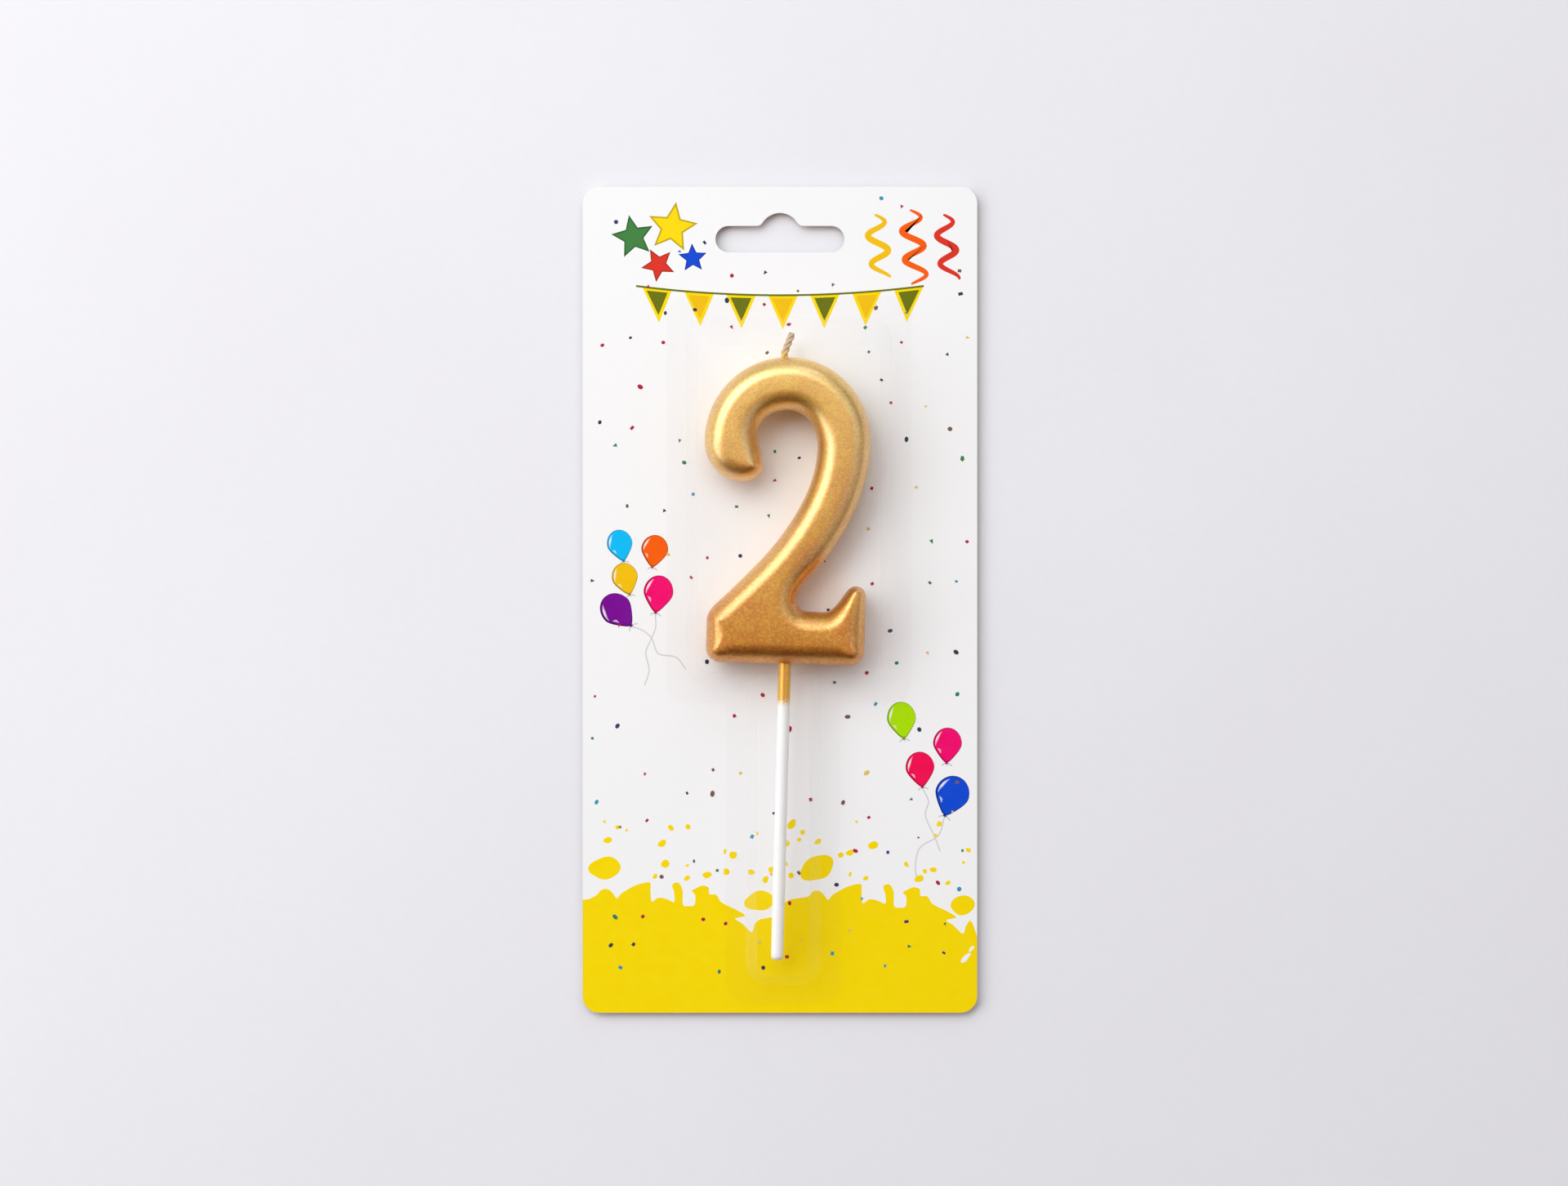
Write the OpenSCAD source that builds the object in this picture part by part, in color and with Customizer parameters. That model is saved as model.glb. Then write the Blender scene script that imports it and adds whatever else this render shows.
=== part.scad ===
// Number candle, a figure two, in its retail blister pack.
// The pack lies on its back: the card's rear face is z = 0, the hang slot is towards +Y,
// and the clear blister rises towards +Z. The origin is the middle of the card's rear face.
// All sizes are millimetres.

/* [Card] */
// Width of the backing card, side to side
card_w = 85; // [76:1:110]
// Height of the backing card, foot to hang edge
card_h = 178; // [172:1:220]
// Thickness of the card board
card_t = 0.5; // [0.3:0.05:1.2]
// Radius of the card's four corners
card_r = 3.6; // [1:0.2:8]

/* [Hang slot] */
// Width of the hang slot over its round ends
slot_w = 27.8; // [24:0.2:34]
// Height of the slot's straight band
slot_h = 5.7; // [4.6:0.1:7]
// Distance from the card's top edge to the middle of the band
slot_edge = 11.3; // [9.5:0.1:16]
// Radius of the rounded peak over the band
peak_r = 4.4; // [3.6:0.1:6]
// Rise of the peak above the band
peak_rise = 2.8; // [1.6:0.1:3.5]
// Radius that blends the peak into the band
peak_blend = 1.5; // [0.5:0.1:2.5]

/* [Numeral] */
// Overall height of the figure
numeral_h = 65.5; // [58:0.5:74]
// Width across the bowl
bowl_w = 35.5; // [30:0.5:40]
// Offset of the bowl's middle from the pick's axis
bowl_x = -0.6; // [-3:0.1:3]
// Drop from the top of the figure to the bowl's widest level
bowl_drop = 18; // [15:0.5:21]
// Width of the stroke round the bowl
stroke_w = 11.3; // [9:0.1:13]
// Drop of the hook's end below the bowl's widest level
hook_drop = 8.8; // [7:0.1:11]
// Width of the hook's rounded end
hook_w = 12.6; // [11:0.1:14]
// Width of the diagonal stroke
waist_w = 10.4; // [8:0.1:12]
// Height on the diagonal's left edge where its slope is set
waist_y = 26.5; // [23:0.5:30]
// Place of that point left of the pick's axis
waist_x = -2; // [-5:0.2:2]
// Slope of the diagonal at that point, in degrees
waist_angle = 54; // [48:1:62]
// Width of the foot
foot_w = 33.8; // [30:0.2:38]
// Height of the foot's upper edge
foot_h = 11.2; // [9:0.1:13]
// Radius of the foot's lower corners
foot_r = 3.1; // [2:0.1:4.5]
// Height of the left shoulder where the diagonal leaves the foot
shoulder_h = 8.8; // [6.5:0.1:10]
// Height of the tail's tip
tail_h = 16.9; // [14.5:0.1:19]
// Half width of the tail's rounded tip
tail_r = 2.1; // [1.5:0.1:3]
// Half width of the hollow between the diagonal and the foot
crotch_r = 2.4; // [1.6:0.1:3]
// Place of that hollow's left edge right of the pick's axis
crotch_x = 2.2; // [1:0.1:3.4]
// Depth of the wax figure, front to back
numeral_depth = 11; // [8:0.2:14]
// Reach of the rounded edge in from the outline
bevel_w = 4.3; // [1.5:0.1:4.6]
// Fullness of the rounded edge: 2 is a plain quarter round, less is nearer a chamfer
bevel_shape = 1.8; // [1.3:0.05:2.4]

/* [Pick and wick] */
// Diameter of the pick
pick_d = 2.6; // [2:0.1:4]
// Length of the pick below the foot
pick_out = 63.5; // [50:0.5:66]
// Length of the pick inside the wax
pick_in = 13; // [8:0.5:15]
// Rounding of the pick's lower end
pick_tip_r = 1; // [0.4:0.1:1]
// Diameter of the pick's thinner plug, which stands in the wax
plug_d = 2.2; // [1.6:0.1:2.4]
// Space between the foot and the shoulder where the plug begins
plug_gap = 0.3; // [0.2:0.1:1]
// Clearance between the plug and its socket, on the radius
socket_fit = 0.03; // [0.02:0.01:0.1]
// Diameter of the wick
wick_d = 1.4; // [1:0.1:2]
// Length of the wick inside the wax
wick_in = 8.5; // [5:0.5:9]
// Place of the wick left of the pick's axis
wick_x = -1.8; // [-4:0.1:2]
// Height of the wick's end above the figure
wick_rise = 5.2; // [4:0.1:6]
// Lean of the wick's free end, in degrees
wick_lean = 26; // [10:1:32]
// Direction of that lean, from straight right towards the card, in degrees
wick_turn = 42; // [20:1:60]
// Radius of the wick's bend
wick_bend = 4; // [3:0.5:6]
// Diameter of the wick's looser free end
wick_end_d = 1.5; // [1.1:0.1:2.2]

/* [Blister] */
// Thickness of the clear film
film_t = 0.3; // [0.2:0.05:0.5]
// Place of the candle's middle right of the card's middle
seat_x = 1.9; // [-3:0.1:3]
// Place of the candle's middle above the card's middle
seat_y = 19.1; // [17:0.1:21]
// Lean of the candle in its tray, clockwise, in degrees
candle_lean = 1.5; // [0:0.1:2]
// Space left and right of the figure at the front of its tray
side_gap = 1.8; // [1.5:0.1:4]
// Space above and below the figure at the front of its tray
end_gap = 1.7; // [1.2:0.1:3]
// Space between the figure's front and the film
head_gap = 0.7; // [0.4:0.1:2]
// Space between the wick's end and the tray's upper wall at the card
wick_gap = 3.9; // [3.4:0.1:6]
// Spread of the tray's other walls from its front to the card
wall_draft = 2.5; // [1.5:0.1:4]
// Space left and right of the pick in its channel
pick_gap = 4.2; // [3:0.1:6]
// Space between the pick's front and the film
pick_head = 0.9; // [0.4:0.1:2]
// Space below the pick's end
pick_end_gap = 3; // [2:0.1:4]
// Place of the pick channel right of the tray's middle
channel_x = -1.2; // [-2:0.1:1]
// Width of the flat flange that is sealed to the card
flange_w = 4; // [3:0.1:6]
// Corner radius of the tray's front
tray_r = 3.5; // [2.5:0.1:6]
// Rounding between the film's front and its walls
film_edge = 1.4; // [0.8:0.1:2]

/* [Hidden] */
$fn = 48;
// Names of the pieces, and the one that is drawn
// Longest step and greatest turn between neighbouring points of the numeral's outline
step_len = 2.4;
step_turn = 9;
// Rings from the parting line to the flat front
rings = 6;
// Share of the room at a point that its rounded edge may take
room_share = 0.86;
// Room over the plug's end in its socket
socket_room = 0.1;
// Overlap of the wick's free end with its bend
wick_lap = 0.3;
// Growth of the tray's corner radius from its front to the card
tray_flare = 1;
// Length by which a cutting form passes the face that it cuts
past = 1;
// Tail: steps in from its tip to the middle of its slope and to the slope's foot, and the sag
// of the slope's middle
tail_neck = 3.2;
tail_run = 6.8;
tail_sag = 0.2;
// Shoulder: where the diagonal's sweep meets it, in from the foot's end and up
shoulder_in = 3.6;
shoulder_up = 5.3;
// Hook: share of the stroke at its lowest point, and rise of its widest point over that
hook_low = 0.72;
hook_rise = 3.6;
// Bowl's inner edge: level of its left and right ends against the bowl's widest level
inner_left = 1.4;
inner_right = -1;

// Numeral outline: knots as [x, y, travel angle], anticlockwise from the foot's lower left
bowl_y = numeral_h - bowl_drop;
bowl_left = bowl_x - bowl_w / 2;
bowl_right = bowl_x + bowl_w / 2;
shoulder_x = -foot_w / 2 + shoulder_in;
shoulder_y = shoulder_h + shoulder_up;
hook_x = bowl_left + hook_w;
waist_out = [
    waist_x + waist_w * sin(waist_angle),
    waist_y - waist_w * cos(waist_angle)
];
knots = [
    [-foot_w / 2 + foot_r, 0, 0],
    [foot_w / 2 - foot_r, 0, 0],
    [foot_w / 2, foot_r, 90],
    [foot_w / 2, tail_h - tail_r, 90],
    [foot_w / 2 - tail_r, tail_h, 180],
    [foot_w / 2 - tail_r - tail_neck, (tail_h + foot_h) / 2 - tail_sag, 232],
    [foot_w / 2 - tail_r - tail_run, foot_h, 180],
    [crotch_x + crotch_r, foot_h, 180],
    [crotch_x, foot_h + crotch_r, 90],
    [waist_out[0], waist_out[1], waist_angle - 3],
    [bowl_right, bowl_y, 90],
    [bowl_x, numeral_h, 180],
    [bowl_left, bowl_y, 270],
    [bowl_left + stroke_w * hook_low, bowl_y - hook_drop, 0],
    [hook_x, bowl_y - hook_drop + hook_rise, 91],
    [bowl_left + stroke_w, bowl_y + inner_left, 90],
    [bowl_x, numeral_h - stroke_w, 0],
    [bowl_right - stroke_w, bowl_y + inner_right, 270],
    [waist_x, waist_y, waist_angle + 180],
    [shoulder_x, shoulder_y, 225],
    [-foot_w / 2, shoulder_h, 270],
    [-foot_w / 2, foot_r, 270]
];

function wrap(a) = a - 360 * floor((a + 180) / 360);
function way(a) = [cos(a), sin(a)];
// Handle length for a smooth span that leaves its chord at angle a and meets it at angle b
function reach(a, b) =
    (2 + sqrt(2) * (sin(a) - sin(b) / 16) * (sin(b) - sin(a) / 16) * (cos(a) - cos(b)))
    / (3 * (1 + 0.5 * (sqrt(5) - 1) * cos(a) + 0.5 * (3 - sqrt(5)) * cos(b)));
function along(a, b, c, d, t) =
    a * pow(1 - t, 3) + b * 3 * t * pow(1 - t, 2) + c * 3 * t * t * (1 - t) + d * pow(t, 3);
function pace(a, b, c, d, t) =
    (b - a) * pow(1 - t, 2) + (c - b) * 2 * t * (1 - t) + (d - c) * t * t;
// Points of one span, each as [x, y, inward normal x, inward normal y]
function span(k, m) =
    let (
        p = [k[0], k[1]],
        q = [m[0], m[1]],
        chord = norm(q - p),
        aim = atan2(q[1] - p[1], q[0] - p[0]),
        a = wrap(k[2] - aim),
        b = wrap(aim - m[2]),
        ph = p + way(k[2]) * chord * reach(a, b),
        qh = q - way(m[2]) * chord * reach(b, a),
        n = max(ceil(chord / step_len), ceil((abs(a) + abs(b)) / step_turn))
    )
    [
        for (i = [0 : n - 1])
        let (
            t = i / n,
            v = along(p, ph, qh, q, t),
            g = pace(p, ph, qh, q, t),
            w = [-g[1], g[0]] / norm(g)
        )
        [v[0], v[1], w[0], w[1]]
    ];
outline = [
    for (i = [0 : len(knots) - 1])
    each span(knots[i], knots[(i + 1) % len(knots)])
];
count = len(outline);
// Radius of the largest circle inside the outline that touches it at point i
function room(i) =
    let (p = [outline[i][0], outline[i][1]], w = [outline[i][2], outline[i][3]])
    min([
        for (o = outline)
        let (v = [o[0], o[1]] - p, s = v * w)
        if (s > 0.001) v * v / (2 * s)
    ]);
inset = [for (i = [0 : count - 1]) min(bevel_w, room_share * room(i))];
function ring(level) =
    let (
        turn = 90 * abs(level) / rings,
        in = 1 - pow(cos(turn), 2 / bevel_shape),
        z = sign(level) * numeral_depth / 2 * pow(sin(turn), 2 / bevel_shape)
    )
    [
        for (i = [0 : count - 1])
        [
            outline[i][0] + outline[i][2] * inset[i] * in,
            outline[i][1] + outline[i][3] * inset[i] * in,
            z
        ]
    ];

// Twice the area of a triangle, negative if it runs clockwise
function turn_of(a, b, c) = (b[0] - a[0]) * (c[1] - a[1]) - (b[1] - a[1]) * (c[0] - a[0]);
// True if the loop's corner at place k bulges out and holds no other point of the loop
function is_ear(pts, loop, k) =
    let (
        n = len(loop),
        a = pts[loop[(k + n - 1) % n]],
        b = pts[loop[k]],
        c = pts[loop[(k + 1) % n]]
    )
    turn_of(a, b, c) > 0.0001 && len([
        for (j = [2 : n - 2])
        let (p = pts[loop[(k + j) % n]])
        if (min(turn_of(a, b, p), turn_of(b, c, p), turn_of(c, a, p)) > -0.0001) j
    ]) == 0;
function next_ear(pts, loop, k = 0) =
    k >= len(loop) || is_ear(pts, loop, k) ? k % len(loop) : next_ear(pts, loop, k + 1);
// Triangles that fill a loop of points: one corner is cut off at a time
function filled(pts, loop, done = []) =
    len(loop) < 4 ? concat(done, [loop]) :
    let (
        n = len(loop),
        k = next_ear(pts, loop),
        cut = [loop[(k + n - 1) % n], loop[k], loop[(k + 1) % n]]
    )
    filled(pts, [for (i = [0 : n - 1]) if (i != k) loop[i]], concat(done, [cut]));

// Tray and channel limits at the front of the film's outside, as [left, right, foot, top]
tray_in = bowl_w / 2 + side_gap;
tray_top = [
    seat_x - tray_in - film_t,
    seat_x + tray_in + film_t,
    seat_y - numeral_h / 2 - end_gap - film_t,
    seat_y + numeral_h / 2 + end_gap + film_t
];
tray_out = [wall_draft, wall_draft, wall_draft, wick_rise + wick_gap - end_gap];
channel_in = pick_d / 2 + pick_gap;
channel_top = [
    seat_x + channel_x - channel_in - film_t,
    seat_x + channel_x + channel_in + film_t,
    seat_y - numeral_h / 2 - pick_out - pick_end_gap - film_t,
    seat_y - numeral_h / 2
];
channel_out = [wall_draft, wall_draft, wall_draft, 0];
tray_h = numeral_depth + head_gap + film_t;
channel_h = numeral_depth / 2 + pick_d / 2 + pick_head + film_t;

// Moves a piece from the candle's own frame, where the pick's axis is the Y axis and the foot
// stands on y = 0, to its place on the card
module in_tray() {
    translate([seat_x, seat_y, card_t + numeral_depth / 2])
        rotate([0, 0, -candle_lean])
            translate([0, -numeral_h / 2, 0])
                children();
}

// Rectangle with round corners, given as [left, right, foot, top]
module round_box(b, r) {
    translate([b[0] + r, b[2]])
        square([b[1] - b[0] - 2 * r, b[3] - b[2]]);
    translate([b[0], b[2] + r])
        square([b[1] - b[0], b[3] - b[2] - 2 * r]);
    for (x = [b[0] + r, b[1] - r], y = [b[2] + r, b[3] - r])
        translate([x, y])
            circle(r);
}

function grown(b, s) = [b[0] - s[0], b[1] + s[1], b[2] - s[2], b[3] + s[3]];

// Points of a rectangle with round corners at height z, anticlockwise
function round_loop(b, r, z) = [
    for (c = [[1, 3, 0], [0, 3, 90], [0, 2, 180], [1, 2, 270]], a = [0 : 15 : 90])
    [
        b[c[0]] + r * (cos(c[2] + a) - (c[0] == 1 ? 1 : -1)),
        b[c[1]] + r * (sin(c[2] + a) - (c[1] == 3 ? 1 : -1)),
        z
    ]
];

// Solid form of a film pocket: front limits, spread to the card, height, shrink for its inside
module pocket(b, spread, h, shrink) {
    s = [1, 1, 1, 1];
    e = film_edge - shrink;
    crown = h - shrink;
    foot_z = shrink > 0 ? -past : 0;
    shoulder = spread * (1 - (crown - e) / h);
    base_box = grown(b, spread * (1 - foot_z / h) - s * shrink);
    loops = concat(
        [round_loop(base_box, tray_r + tray_flare - shrink, foot_z)],
        [
            for (a = [0 : 22.5 : 90])
            let (in = shrink + e * (1 - cos(a)))
            round_loop(grown(b, shoulder - s * in), tray_r - in, crown - e + e * sin(a))
        ]
    );
    n = len(loops[0]);
    m = len(loops);
    sides = [
        for (k = [0 : m - 2], i = [0 : n - 1])
        let (p = k * n + i, q = k * n + (i + 1) % n)
        each [[p, p + n, q], [q, p + n, q + n]]
    ];
    base = [for (i = [0 : n - 1]) i];
    front = [for (i = [n - 1 : -1 : 0]) (m - 1) * n + i];
    polyhedron([for (l = loops) each l], concat(sides, [base, front]));
}

// Outline of the hang slot, about the middle of its band
module slot_form() {
    band = slot_h / 2;
    peak_y = band + peak_rise - peak_r;
    blend_y = band + peak_blend;
    blend_x = sqrt(pow(peak_r + peak_blend, 2) - pow(blend_y - peak_y, 2));
    square([slot_w - slot_h, slot_h], center = true);
    for (s = [-1, 1])
        translate([s * (slot_w - slot_h) / 2, 0])
            circle(band);
    intersection() {
        translate([0, peak_y])
            circle(peak_r);
        translate([-peak_r, 0])
            square([2 * peak_r, band + peak_rise + past]);
    }
    difference() {
        polygon([
            [-blend_x, 0],
            [blend_x, 0],
            [blend_x, blend_y],
            [0, peak_y],
            [-blend_x, blend_y]
        ]);
        for (s = [-1, 1])
            translate([s * blend_x, blend_y])
                circle(peak_blend);
    }
}

// Printed board with the hang slot
module backing_card() {
    color("white")
        linear_extrude(card_t)
            difference() {
                round_box([-card_w / 2, card_w / 2, -card_h / 2, card_h / 2], card_r);
                translate([0, card_h / 2 - slot_edge])
                    slot_form();
            }
}

// Clear formed film: a deep tray for the figure, a shallow channel for the pick, a flat flange
module blister() {
    rim = [1, 1, 1, 1] * flange_w;
    color([0.8, 0.9, 1, 0.35])
        translate([0, 0, card_t])
            difference() {
                union() {
                    linear_extrude(film_t) {
                        round_box(grown(grown(tray_top, tray_out), rim), tray_r + tray_flare);
                        round_box(grown(grown(channel_top, channel_out), rim), tray_r + tray_flare);
                    }
                    pocket(tray_top, tray_out, tray_h, 0);
                    pocket(channel_top, channel_out, channel_h, 0);
                }
                pocket(tray_top, tray_out, tray_h, film_t);
                pocket(channel_top, channel_out, channel_h, film_t);
            }
}

// Wax figure with rounded edges, a socket for the pick and a hole for the wick
module numeral_body() {
    points = [for (level = [-rings : rings]) each ring(level)];
    sides = [
        for (level = [0 : 2 * rings - 1], i = [0 : count - 1])
        let (a = level * count + i, b = level * count + (i + 1) % count)
        each [[a, a + count, b], [b, a + count, b + count]]
    ];
    back = filled(ring(-rings), [for (i = [0 : count - 1]) i]);
    front = [
        for (f = back)
        [f[2], f[1], f[0]] + [1, 1, 1] * 2 * rings * count
    ];
    color("goldenrod")
        in_tray()
            difference() {
                polyhedron(points, concat(sides, back, front));
                translate([0, -past, 0])
                    rotate([-90, 0, 0])
                        cylinder(h = pick_in + socket_room + past, d = plug_d + 2 * socket_fit);
                translate([wick_x, numeral_h - wick_in, 0])
                    rotate([-90, 0, 0])
                        cylinder(h = wick_in + past, d = wick_d);
            }
}

// Cotton wick: straight in the wax, then bent over to its free end
module wick() {
    up = wick_bend * sin(wick_lean);
    over = wick_bend * (1 - cos(wick_lean));
    free = (wick_rise - up) / cos(wick_lean);
    color("tan")
        in_tray()
            translate([wick_x, numeral_h, 0])
                rotate([-90, 0, 0])
                    rotate([0, 0, wick_turn]) {
                        translate([0, 0, -wick_in])
                            cylinder(h = wick_in, d = wick_d);
                        translate([wick_bend, 0, 0])
                            rotate([90, 0, 0])
                                rotate([0, 0, 180 - wick_lean])
                                    rotate_extrude(angle = wick_lean)
                                        translate([wick_bend, 0])
                                            circle(d = wick_d);
                        translate([over, 0, up])
                            rotate([0, wick_lean, 0])
                                translate([0, 0, -wick_lap])
                                    cylinder(h = free + wick_lap, d = wick_end_d);
                    }
}

// Round plastic pick with a thinner plug in the wax and a rounded lower end
module pick() {
    color("white")
        in_tray()
            rotate([90, 0, 0])
                rotate_extrude() {
                    translate([0, -pick_in])
                        square([plug_d / 2, pick_in + pick_out / 2]);
                    translate([0, plug_gap])
                        square([pick_d / 2, pick_out - pick_tip_r - plug_gap]);
                    square([pick_d / 2 - pick_tip_r, pick_out]);
                    translate([pick_d / 2 - pick_tip_r, pick_out - pick_tip_r])
                        intersection() {
                            circle(pick_tip_r);
                            square(pick_tip_r);
                        }
                }
}

backing_card();
blister();
numeral_body();
wick();
pick();
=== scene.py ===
"""Gold number candle in its blister pack: looks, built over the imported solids.

Each piece is made by its own operator from the sizes and colours in the property groups below.
"""

import math
import random

import bmesh
import bpy
import numpy as np
from bpy.props import FloatProperty, FloatVectorProperty, IntProperty, PointerProperty
from mathutils import Matrix, Vector


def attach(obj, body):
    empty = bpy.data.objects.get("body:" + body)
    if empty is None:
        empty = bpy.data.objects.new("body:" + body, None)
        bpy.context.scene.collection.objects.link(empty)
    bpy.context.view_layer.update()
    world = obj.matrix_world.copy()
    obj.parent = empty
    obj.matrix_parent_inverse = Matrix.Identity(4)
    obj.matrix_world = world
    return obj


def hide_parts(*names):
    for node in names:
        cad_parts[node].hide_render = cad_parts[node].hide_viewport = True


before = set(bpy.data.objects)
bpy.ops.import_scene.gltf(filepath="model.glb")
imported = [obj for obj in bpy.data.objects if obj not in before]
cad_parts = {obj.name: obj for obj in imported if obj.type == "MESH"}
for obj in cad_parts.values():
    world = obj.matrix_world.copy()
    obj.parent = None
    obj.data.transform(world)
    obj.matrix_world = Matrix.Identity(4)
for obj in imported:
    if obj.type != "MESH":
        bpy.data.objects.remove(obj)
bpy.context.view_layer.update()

bl_info = {
    "name": "Number candle pack",
    "version": (1, 0, 0),
    "blender": (4, 5, 0),
    "location": "3D View > Sidebar > Candle",
    "description": "Builds a gold number candle in a clear blister on a printed hang card",
    "category": "Object",
}

MM = 0.001


# Small helpers for settings


def length(name, text, default):
    """A length in millimetres as a property in metres."""
    return FloatProperty(name=name, description=text, default=default * MM, unit="LENGTH", precision=5)


def angle(name, text, default):
    """An angle in degrees as a property in radians."""
    return FloatProperty(name=name, description=text, default=math.radians(default), unit="ROTATION")


def amount(name, text, default):
    """A plain number."""
    return FloatProperty(name=name, description=text, default=default)


def power(name, text, default):
    """A lamp's power in watts."""
    return FloatProperty(name=name, description=text, default=default, unit="POWER")


def linear(r, g, b):
    """Screen colour, 0 to 255, as the linear colour that a shader takes."""
    return tuple((c / 255 / 12.92) if c < 10.3 else ((c / 255 + 0.055) / 1.055) ** 2.4 for c in (r, g, b))


def colour(name, text, r, g, b):
    """A colour given as it looks on the screen."""
    return FloatVectorProperty(
        name=name, description=text, default=linear(r, g, b), subtype="COLOR", size=3, min=0, max=1
    )


# Settings


class CardSettings(bpy.types.PropertyGroup):
    """Backing card and its print."""

    width: length("Width", "Width of the card", 85)
    height: length("Height", "Height of the card", 178)
    thickness: length("Thickness", "Thickness of the board", 0.5)
    corner: length("Corner", "Radius of the card's corners", 3.6)
    board: colour("Board", "Coated front of the board", 249, 249, 249)
    core: colour("Core", "Cut edge of the board", 226, 221, 212)
    rear: colour("Rear", "Uncoated rear of the board", 224, 221, 214)


class PrintSettings(bpy.types.PropertyGroup):
    """Inks on the card's front."""

    lift: length("Ink", "Thickness of one layer of ink", 0.005)
    specks: IntProperty(name="Specks", description="Number of confetti specks", default=150, min=0)
    seed: IntProperty(name="Seed", description="Seed of the confetti and the splashes", default=11)
    foot_top: length("Foot", "Level of the yellow foot's upper edge", -63.6)
    yellow: colour("Yellow", "Yellow foot and its drops", 253, 221, 0)
    cyan: colour("Cyan", "Cyan balloon", 4, 190, 250)
    orange: colour("Orange", "Orange balloon", 250, 96, 4)
    amber: colour("Amber", "Amber balloon", 246, 194, 6)
    magenta: colour("Magenta", "Magenta balloons", 246, 4, 112)
    purple: colour("Purple", "Purple balloon", 122, 4, 148)
    lime: colour("Lime", "Lime balloon", 174, 228, 0)
    crimson: colour("Crimson", "Crimson balloon", 246, 6, 84)
    blue: colour("Blue", "Blue balloon", 10, 74, 214)
    thread: colour("Thread", "Balloon strings", 216, 214, 217)
    olive: colour("Olive", "Dark flags", 108, 116, 12)
    red: colour("Red", "Red ribbon and star", 222, 52, 36)
    green: colour("Green", "Green star", 66, 132, 66)
    shine: colour("Shine", "Lights on the balloons", 252, 246, 246)
    bare: colour("Bare", "White drops in the yellow foot", 249, 249, 249)


class FigureSettings(bpy.types.PropertyGroup):
    """Wax figure two."""

    height: length("Height", "Overall height", 65.5)
    depth: length("Depth", "Front to back", 11)
    bowl_width: length("Bowl", "Width across the bowl", 35.5)
    bowl_shift: length("Bowl offset", "Middle of the bowl from the pick's axis", -0.6)
    bowl_drop: length("Bowl drop", "From the top to the bowl's widest level", 18)
    stroke: length("Stroke", "Stroke width round the bowl", 11.3)
    hook_drop: length("Hook drop", "End of the hook below the bowl's widest level", 8.8)
    hook_width: length("Hook width", "Width of the hook's end", 12.6)
    waist: length("Waist", "Width of the diagonal", 10.4)
    waist_x: length("Waist place", "Left edge of the diagonal from the pick's axis", -2)
    waist_y: length("Waist level", "Level where the diagonal's slope is set", 26.5)
    waist_angle: angle("Waist slope", "Slope of the diagonal", 54)
    foot_width: length("Foot width", "Width of the foot", 33.8)
    foot_height: length("Foot height", "Height of the foot's upper edge", 11.2)
    foot_corner: length("Foot corner", "Radius of the foot's lower corners", 3.1)
    shoulder: length("Shoulder", "Height of the left shoulder", 8.8)
    tail: length("Tail", "Height of the tail's tip", 16.9)
    tail_half: length("Tail tip", "Half width of the tail's tip", 2.1)
    crotch: length("Crotch", "Half width of the hollow over the foot", 2.4)
    bevel: length("Bevel", "Reach of the rounded edge", 4.3)
    fullness: amount("Fullness", "2 is a quarter round, less is nearer a chamfer", 2.1)
    seam: length("Seam", "Height of the mould's parting line", 0.05)
    gold: colour("Gold", "Metallic lacquer", 251, 202, 42)
    # Deep gold also carries the painted shade towards the foot
    deep_gold: colour("Deep gold", "Lacquer between its flakes", 220, 134, 2)


class PickSettings(bpy.types.PropertyGroup):
    """Pick and wick."""

    pick: length("Pick", "Diameter of the pick", 2.6)
    pick_out: length("Pick length", "Length below the foot", 63.5)
    pick_in: length("Pick depth", "Length inside the wax", 13)
    pick_tip: length("Pick tip", "Rounding of the lower end", 1)
    overspray: length("Overspray", "Gold on the pick below the foot", 8.2)
    wick: length("Wick", "Diameter of the wick", 1.6)
    wick_x: length("Wick place", "Wick from the pick's axis", -1.8)
    wick_in: length("Wick depth", "Length inside the wax", 8.5)
    wick_rise: length("Wick height", "End of the wick above the figure", 5.2)
    wick_lean: angle("Wick lean", "Lean of the free end", 26)
    wick_turn: angle("Wick turn", "Direction of the lean, from right towards the card", 42)
    wick_bend: length("Wick bend", "Radius of the bend", 4)
    wick_pitch: length("Wick twist", "Length of one full twist", 4.4)
    white: colour("White", "Plastic of the pick", 255, 254, 252)
    copper: colour("Copper", "Overspray on the pick", 232, 168, 104)
    cotton: colour("Cotton", "Waxed cotton", 214, 184, 146)
    # Painted shade in the grooves between the wick's strands
    groove: colour("Groove", "Grooves of the twist", 112, 74, 44)


class FilmSettings(bpy.types.PropertyGroup):
    """Clear blister and the candle's place in it."""

    thickness: length("Film", "Thickness of the film", 0.3)
    seat_x: length("Seat right", "Candle's middle right of the card's middle", 1.9)
    seat_y: length("Seat up", "Candle's middle above the card's middle", 19.1)
    lean: angle("Candle lean", "Clockwise lean of the candle", 1.5)
    side_gap: length("Side gap", "Space beside the figure", 1.8)
    end_gap: length("End gap", "Space above and below the figure", 1.7)
    head_gap: length("Head gap", "Space over the figure's front", 0.7)
    wick_gap: length("Wick gap", "Space over the wick's end", 3.9)
    draft: length("Draft", "Spread of the walls", 2.5)
    pick_gap: length("Pick gap", "Space beside the pick", 4.2)
    pick_head: length("Pick head", "Space over the pick", 0.9)
    pick_end: length("Pick end", "Space below the pick", 3)
    channel_x: length("Channel", "Channel right of the tray's middle", -1.2)
    flange: length("Flange", "Width of the sealed flange", 4)
    corner: length("Corner", "Corner radius of the tray", 3.5)
    edge: length("Edge", "Rounding of the front's edge", 1.4)
    fillet: length("Fillet", "Rounding at the flange", 0.7)
    clear: length("Seal", "Seal layer between the card and the flange", 0.03)


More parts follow.
